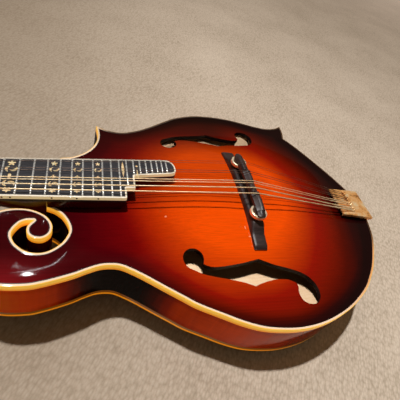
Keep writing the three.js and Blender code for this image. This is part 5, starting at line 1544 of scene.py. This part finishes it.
# a gear's rows: radius, height over the shaft and share of the teeth's wave
GEAR_PROFILE = np.array([
    (2, GEAR_HALF, 0), (3.6, GEAR_HALF, 0), (4.55, 1.05, 0.45), (4.55, -1.05, 0.45),
    (3.6, -GEAR_HALF, 0), (2, -GEAR_HALF, 0)])
# a shaft's profile from the worm to the knob, a plate screw's and a bushing's
ROD_PROFILE = [(0.01, -7), (SHAFT_RADIUS, -6.9), (SHAFT_RADIUS, BUTTON_START - 0.6),
               (2.1, BUTTON_START - 0.4), (2.2, BUTTON_START + 0.6), (0.01, BUTTON_START + 0.7)]
PLATE_SCREW = [(0.01, 0.3), (1.7, 0.3), (1.7, -0.1), (1.2, -0.6), (0.01, -0.8)]
BUSHING = [(3.1, 0.5, 0), (3.6, 0.6, 0), (4.4, 0.35, 0), (4.6, 0.02, 0), (3.38, 0.02, 0),
           (3.38, -2, 0), (3.1, -2, 0)]


def gear():
    """A gear: a disc whose radius rises and falls once for each tooth, thinner at its rim."""
    way = circle(GEAR_TEETH * 8)
    return turned_ring(GEAR_PROFILE + (0, SHAFT_Z, 0), way,
                       np.clip(1.6 * np.cos(GEAR_TEETH * way - 2.1), -1, 1))


def button():
    """A knob: an oval whose outline is squared a little toward its outer end, flatter one
    way than the other."""
    flat, wide, half = BUTTON_SIZE
    t, way = np.linspace(0, math.pi, 17)[:, None], circle(32)
    swell = np.sin(t)**0.72 * (0.86 - 0.14 * np.cos(t))
    return sealed(np.stack(np.broadcast_arrays(
        flat * swell * np.cos(way), wide * swell * np.sin(way),
        BUTTON_START + half - half * np.cos(t)), -1))


def lug():
    """An ear of the plate with a bore for the shaft, laid across it."""
    line = rounded([(SHAFT_Z - LUG_HALF, -LUG_HALF, 2.2), (PLATE_BACK + 0.2, -LUG_HALF, 0),
                    (PLATE_BACK + 0.2, LUG_HALF, 0), (SHAFT_Z - LUG_HALF, LUG_HALF, 2.2)])
    points, faces, _ = slab([line, disc_line(SHAFT_Z, 0, SHAFT_RADIUS + 0.2, 16)], 0.7, -0.7, 5)
    return points[:, [1, 2, 0]], faces


GILT = bright_metal("tuner_gilt", "#d9b878", "#8c6a35", 0.32, 120.0, 0.8)
KNOB_PEARL = pearl("knob_pearl", "#cfc5ae", "#f6f0e2", "#e9d3c3")
metal = joined([thread(WORM_RADIUS, WORM_THREAD, 2 * math.pi * GEAR_RADIUS / GEAR_TEETH,
                       -WORM_LENGTH / 2, WORM_LENGTH / 2, 8, 20), turned(ROD_PROFILE, 20)])
knob = button()
shaft_inks = [0] * len(metal[1]) + [1] * len(knob[1])
for side, label, x, y in POSTS:
    points, faces = joined([turned(POST_PROFILE, 28), gear()])
    piece(f"post_{label}", points + (x, y, 0), faces, GILT, body=f"string_post_{label}",
          slot="gold_plate", replaces=[f"string_post_{label}"], place=HEAD)
    points, faces = joined([metal, knob])
    points = points[:, [0, 2, 1]] * (1, side, -side) + (x + SHAFT_OFFSET, y, SHAFT_Z)
    piece(f"worm_{label}", points, faces, [GILT, KNOB_PEARL], body=f"tuner_shaft_{label}",
          slot="pearl_button", inks=shaft_inks, replaces=[f"tuner_shaft_{label}"], place=HEAD)

plate_low = -FIRST_POST - 3 * POST_SPACING - PLATE_MARGIN
plate_high = -FIRST_POST + SHAFT_OFFSET + PLATE_MARGIN
screw_xs = [plate_low + SCREW_FROM_END, plate_high - SCREW_FROM_END] + [
    -FIRST_POST - (gap + 0.5) * POST_SPACING - 1 for gap in range(3)]
for side, name in ((1, "treble"), (-1, "bass")):
    posts = [(x, y) for way, _, x, y in POSTS if way == side]
    low, high = side * POST_Y - PLATE_HALF, side * POST_Y + PLATE_HALF
    line = rounded([(plate_low, low, 4), (plate_high, low, 4), (plate_high, high, 4),
                    (plate_low, high, 4)])
    parts = [slab([line] + [disc_line(x, y, PLATE_BORE, 20) for x, y in posts],
                  PLATE_FRONT, PLATE_BACK, 5)[:2]]
    for x, y in posts:
        for end in (-LUG_Y, LUG_Y):
            points, faces = lug()
            parts.append((points + (x + SHAFT_OFFSET, y + end, 0), faces))
    for x in screw_xs:
        points, faces = turned(PLATE_SCREW, 16)
        parts.append((points + (x, side * (POST_Y - SCREW_FROM_POSTS), PLATE_BACK), faces))
    piece(f"machine_plate_{name}", *joined(parts), GILT, slot="gold_plate",
          replaces=[f"tuner_plate_{name}"], place=HEAD, crease=40)
bushing, bushing_faces = turned_ring(BUSHING, circle(28))
piece("post_bushings", *joined((bushing + (x, y, 0), bushing_faces) for _, _, x, y in POSTS),
      GILT, slot="gold_plate", place=HEAD, crease=40)
paint(["truss_rod"], NICKEL)

# The strings themselves. Each ends in turns on its post and in a twisted loop on its hook.
REST_GAP = 0.12
STRING_STEPS = 40
CREST_HALF = 1.5
RIDGE_PITCH = 0.42
TWISTED_STEPS, TWIST_SWELL = 9, 1.7
LOOP_STEPS, LOOP_OPENING = 20, 0.5
LOOP_LENGTH, LOOP_WIDTH, THINNEST_LOOP = 1.1, 0.95, 0.18
COIL_STEPS, COIL_TURNS = 84, 3.5
COIL_START, COIL_PITCH = 2.2, 2.1
FINE_SIDES = 6
UP = (0.0, 0.0, 1.0)


def string_finish(name, light, dark, wound):
    """Drawn wire, or wire wound round with a finer one that shows as close ridges."""
    finish = Finish(name)
    tarnish = finish.noise(finish.here(), 200.0, 3.0)
    ridge = (finish.trait("along") * (2 * math.pi / RIDGE_PITCH)).sine() * 0.5 + 0.5
    value = tarnish * 0.6 + ridge * (0.4 if wound else 0.05)
    colour = finish.ramp(value.clamped(), (0.3, dark), (0.62, light))
    return finish.coat(colour, 0.3 + tarnish * 0.15, 0.55,
                       normal=finish.bump(ridge, 0.5 if wound else 0.05, 0.05))


def in_body(point, place):
    """A point of another frame in the body's own."""
    return moved(point, np.linalg.inv(BODY) @ place)


def between(start, end, steps):
    """Points in even steps along a straight line."""
    return start + (end - start) * np.linspace(0, 1, steps)[:, None]


# painted reflection: the plain steel is coloured brown, for the brown surroundings that it
# reflects
PLAIN_WIRE = string_finish("plain_wire", "#9c7f68", "#5a463a", False)
BRONZE_WIRE = string_finish("bronze_wire", "#fff0cc", "#dca864", True)
for i, radius in enumerate(STRING_RADII):
    side, label, post_x, post_y = POSTS[i if i < 4 else 11 - i]
    wire, slot_name = (PLAIN_WIRE, "plain_steel") if i < 4 else (BRONZE_WIRE, "wound_bronze")
    lift, loop_z = radius + REST_GAP, hook_foot + HOOK_HEIGHT / 2
    post_end = in_body((post_x, post_y - side * (POST_WAIST + lift + REST_GAP),
                        POST_WAIST_AT), HEAD)
    rear = in_body((NUT_BACK, NUT_YS[i], NUT_HEIGHT + radius), NECK)
    front = in_body((0, NUT_YS[i], NUT_HEIGHT + lift), NECK)
    left, right = (np.array([BRIDGE_X + x, BRIDGE_YS[i], SADDLE_TOP + lift])
                   for x in (-CREST_HALF, CREST_HALF))
    hook_end = np.array([HOOK_X - 0.8 - 2 * REST_GAP, TAIL_YS[i], loop_z])
    crest = [(left + right) / 2]
    speaking = np.vstack([between(post_end, rear, 5), between(front, left, STRING_STEPS), crest])
    behind = np.vstack([crest, between(right, hook_end, STRING_STEPS)])
    swell = np.ones(len(behind))
    swell[-TWISTED_STEPS:] = TWIST_SWELL
    for name, path, thick, start, end, solids in (
            (f"string_{i + 1}_long", speaking, radius, front, left, [f"string_{i + 1}"]),
            (f"string_{i + 1}_tail", behind, radius * swell, hook_end, right, [])):
        steps = np.concatenate([[0], np.cumsum(np.linalg.norm(np.diff(path, axis=0), axis=1))])
        run = piece(name, *tube(path, thick), wire, body=None, slot=slot_name, replaces=solids,
                    traits={"along": np.repeat(steps, 8)}, crease=60)
        standing(start).tolist()
        standing(end).tolist()
        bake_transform(run)
    way = math.pi + np.linspace(LOOP_OPENING, 2 * math.pi - LOOP_OPENING, LOOP_STEPS)
    loop = np.column_stack([HOOK_X + 0.1 + LOOP_LENGTH * np.cos(way),
                            TAIL_YS[i] + LOOP_WIDTH * np.sin(way),
                            np.full(LOOP_STEPS, loop_z - 0.2)])
    piece(f"string_{i + 1}_loop", *tube(loop, max(radius, THINNEST_LOOP), FINE_SIDES, UP),
          wire, slot=slot_name, crease=60,
          traits={"along": np.repeat(np.arange(LOOP_STEPS), FINE_SIDES)})
    way = np.linspace(0, 2 * math.pi * COIL_TURNS, COIL_STEPS)
    reach = POST_WAIST + lift
    coil = np.column_stack([post_x + reach * np.cos(way), post_y + reach * np.sin(way),
                            POST_WAIST_AT - COIL_START * radius
                            + way / (2 * math.pi) * COIL_PITCH * radius])
    piece(f"winding_{i + 1}", *tube(coil, radius, FINE_SIDES, UP), wire,
          body=f"string_post_{label}", slot=slot_name, place=HEAD, crease=60,
          traits={"along": np.repeat(np.arange(COIL_STEPS), FINE_SIDES)})

# The studio: a plain pale carpet. One high lamp throws a short crisp shadow, two dim ceiling
# lights show in the lacquer as a spot and a streak, and two small lamps stand for the light
# that falls through the sound holes.
FLOOR_RADIUS = 3.0
FLOOR_ROUNDING = 0.6
WALL_HEIGHT = 1.1
WORLD_LEVEL = 0.17
FLOOR_COLOUR = "#c4b3a0"
BACKDROP = "#a8988a"


def carpet():
    """A plain beige carpet: short slanting loops of yarn, darker between them."""
    finish = Finish("plain_carpet")
    x, y, _ = finish.parts(finish.plan())
    loop = finish.add("CombineXYZ", sockets={0: (x * 0.85 - y * 0.52) / 2.0,
                                             1: (x * 0.52 + y * 0.85) / 4.4, 2: 0})
    gap = finish.add("TexVoronoi", dict(feature="F1"), {"Vector": loop, "Scale": 1.0,
                                                        "Randomness": 0.7})
    cloud = finish.noise(finish.here(), 9.0, 3.0)
    fluff = finish.grain(1.2)
    shade = (gap * 0.45 + cloud * 0.35 + fluff * 0.2).clamped()
    colour = finish.ramp(shade, (0.25, "#d6c7b4"), (0.5, FLOOR_COLOUR), (0.8, "#9c8d79"))
    # painted shade: the carpet darkens toward the neck's end of the instrument
    colour = finish.mix((1 - x.rise(40, 470)) * 0.6, colour, "#7d6c58")
    far = ((x * x + y * y) ** 0.5).rise(1000, 2600)
    looked_at = finish.add("LightPath")
    glow = finish.mix(far * looked_at, "#000000", BACKDROP)
    return finish.coat(colour, 0.9, normal=finish.bump(1 - gap, 0.5, 0.8),
                       specular_ior_level=0.1, emission_color=glow, emission_strength=1)


def cove(radius, height, rounding, steps=12, sides=96):
    """A round floor whose edge curves up into a low wall: a quarter circle carried round
    the middle, with the wall above it."""
    bend = np.linspace(0, math.pi / 2, steps)
    reach = np.concatenate([[0.05], radius + rounding * np.sin(bend), [radius + rounding]])
    rise = np.concatenate([[0], rounding * (1 - np.cos(bend)), [height]])
    faces = quads(len(reach), sides)[:, ::-1].tolist() + [list(range(sides))]
    return circles(reach[:, None], rise, circle(sides)).reshape(-1, 3).tolist(), faces


points, faces = cove(FLOOR_RADIUS, WALL_HEIGHT, FLOOR_ROUNDING)
mesh = bpy.data.meshes.new("floor")
mesh.from_pydata(points, [], faces)
mesh.polygons.foreach_set("use_smooth", np.ones(len(mesh.polygons), bool))
mesh.materials.append(carpet().material)
floor = bpy.data.objects.new("floor", mesh)
bpy.context.scene.collection.objects.link(floor)

world = bpy.data.worlds.new("studio")
world.use_nodes = True
bpy.context.scene.world = world
sky = world.node_tree.nodes
sky["Background"].inputs["Color"].default_value = (1, 0.75, 0.48, 1)
sky["Background"].inputs["Strength"].default_value = WORLD_LEVEL
pale, choice, rays = (sky.new("ShaderNode" + kind) for kind in (
    "Background", "MixShader", "LightPath"))
pale.inputs["Color"].default_value = tint(BACKDROP)
for start, end in ((rays.outputs["Is Camera Ray"], choice.inputs[0]),
                   (sky["Background"].outputs[0], choice.inputs[1]),
                   (pale.outputs[0], choice.inputs[2]),
                   (choice.outputs[0], sky["World Output"].inputs["Surface"])):
    world.node_tree.links.new(start, end)


def lamp(name, place, aim, size, power, spread=180, only=()):
    """A lamp in millimetres of the body's frame, turned to what it lights: everything, or
    only the pieces named. Its size is a disc's width, or an oval's two widths."""
    data = bpy.data.lights.new(name, "AREA")
    data.energy, data.spread = power, math.radians(spread)
    data.cycles.max_bounces = 0 if only else 1024
    if isinstance(size, tuple):
        data.shape, (data.size, data.size_y) = "ELLIPSE", size
    else:
        data.shape, data.size = "DISK", size
    thing = bpy.data.objects.new(name, data)
    spot, target = (Vector(standing(each)) for each in (place, aim))
    thing.location = spot
    thing.rotation_euler = (target - spot).to_track_quat("-Z", "Y").to_euler()
    bpy.context.scene.collection.objects.link(thing)
    if only:
        lit = bpy.data.collections.new(name + "_lights")
        for each in only:
            lit.objects.link(bpy.data.objects[each])
        thing.light_linking.receiver_collection = lit


lamp("key_lamp", (-122, 340, 2125), (520, -60, -40), 0.08, 11.2, spread=90)
lamp("ceiling_lamp", (14, 1075, 1800), (189, -73, 0), (0.042, 0.085), 1.4)
lamp("ceiling_strip", (145, 1002, 1800), (200, -66, 0), (0.4, 0.009), 0.5)
lamp("inner_lamp", (204, -150, 249), (345, -38, 0), 0.008, 2.2, only=["back"])
lamp("far_inner_lamp", (222, -178, 249), (345, 45, 0), 0.008, 0.14, spread=44,
     only=["ribs", "back_lining"])

# The camera stands close over the bass side of the neck's end and looks along the body
# toward the treble side, turned so that the strings run nearly level.
CAMERA_PLACE = (207.86, -193.67, 210.87)
CAMERA_AZIMUTH = math.radians(-30.2)
CAMERA_HEIGHT = math.radians(43.75)
CAMERA_ROLL = math.radians(25.2)
CAMERA_LENS = 346.27
PICTURE_SIDE = 400
SENSOR = 36
sin_a, cos_a = math.sin(CAMERA_AZIMUTH), math.cos(CAMERA_AZIMUTH)
sin_h, cos_h = math.sin(CAMERA_HEIGHT), math.cos(CAMERA_HEIGHT)
back = np.array([sin_a * cos_h, -cos_a * cos_h, sin_h])
right = np.array([cos_a, sin_a, 0])
upward = np.cross(back, right)
right, upward = (math.cos(CAMERA_ROLL) * right + math.sin(CAMERA_ROLL) * upward,
                 math.cos(CAMERA_ROLL) * upward - math.sin(CAMERA_ROLL) * right)
view = np.eye(4)
view[:3, :3] = BODY[:3, :3] @ np.column_stack([right, upward, back])
view[:3, 3] = standing(CAMERA_PLACE)
camera_data = bpy.data.cameras.new("camera")
camera_data.sensor_width = SENSOR
camera_data.lens = CAMERA_LENS / PICTURE_SIDE * SENSOR
camera_data.clip_start = 0.01
camera = bpy.data.objects.new("camera", camera_data)
camera.matrix_world = Matrix(view.tolist())
bpy.context.scene.collection.objects.link(camera)
bpy.context.scene.camera = camera
bpy.context.scene.view_settings.view_transform = "Standard"
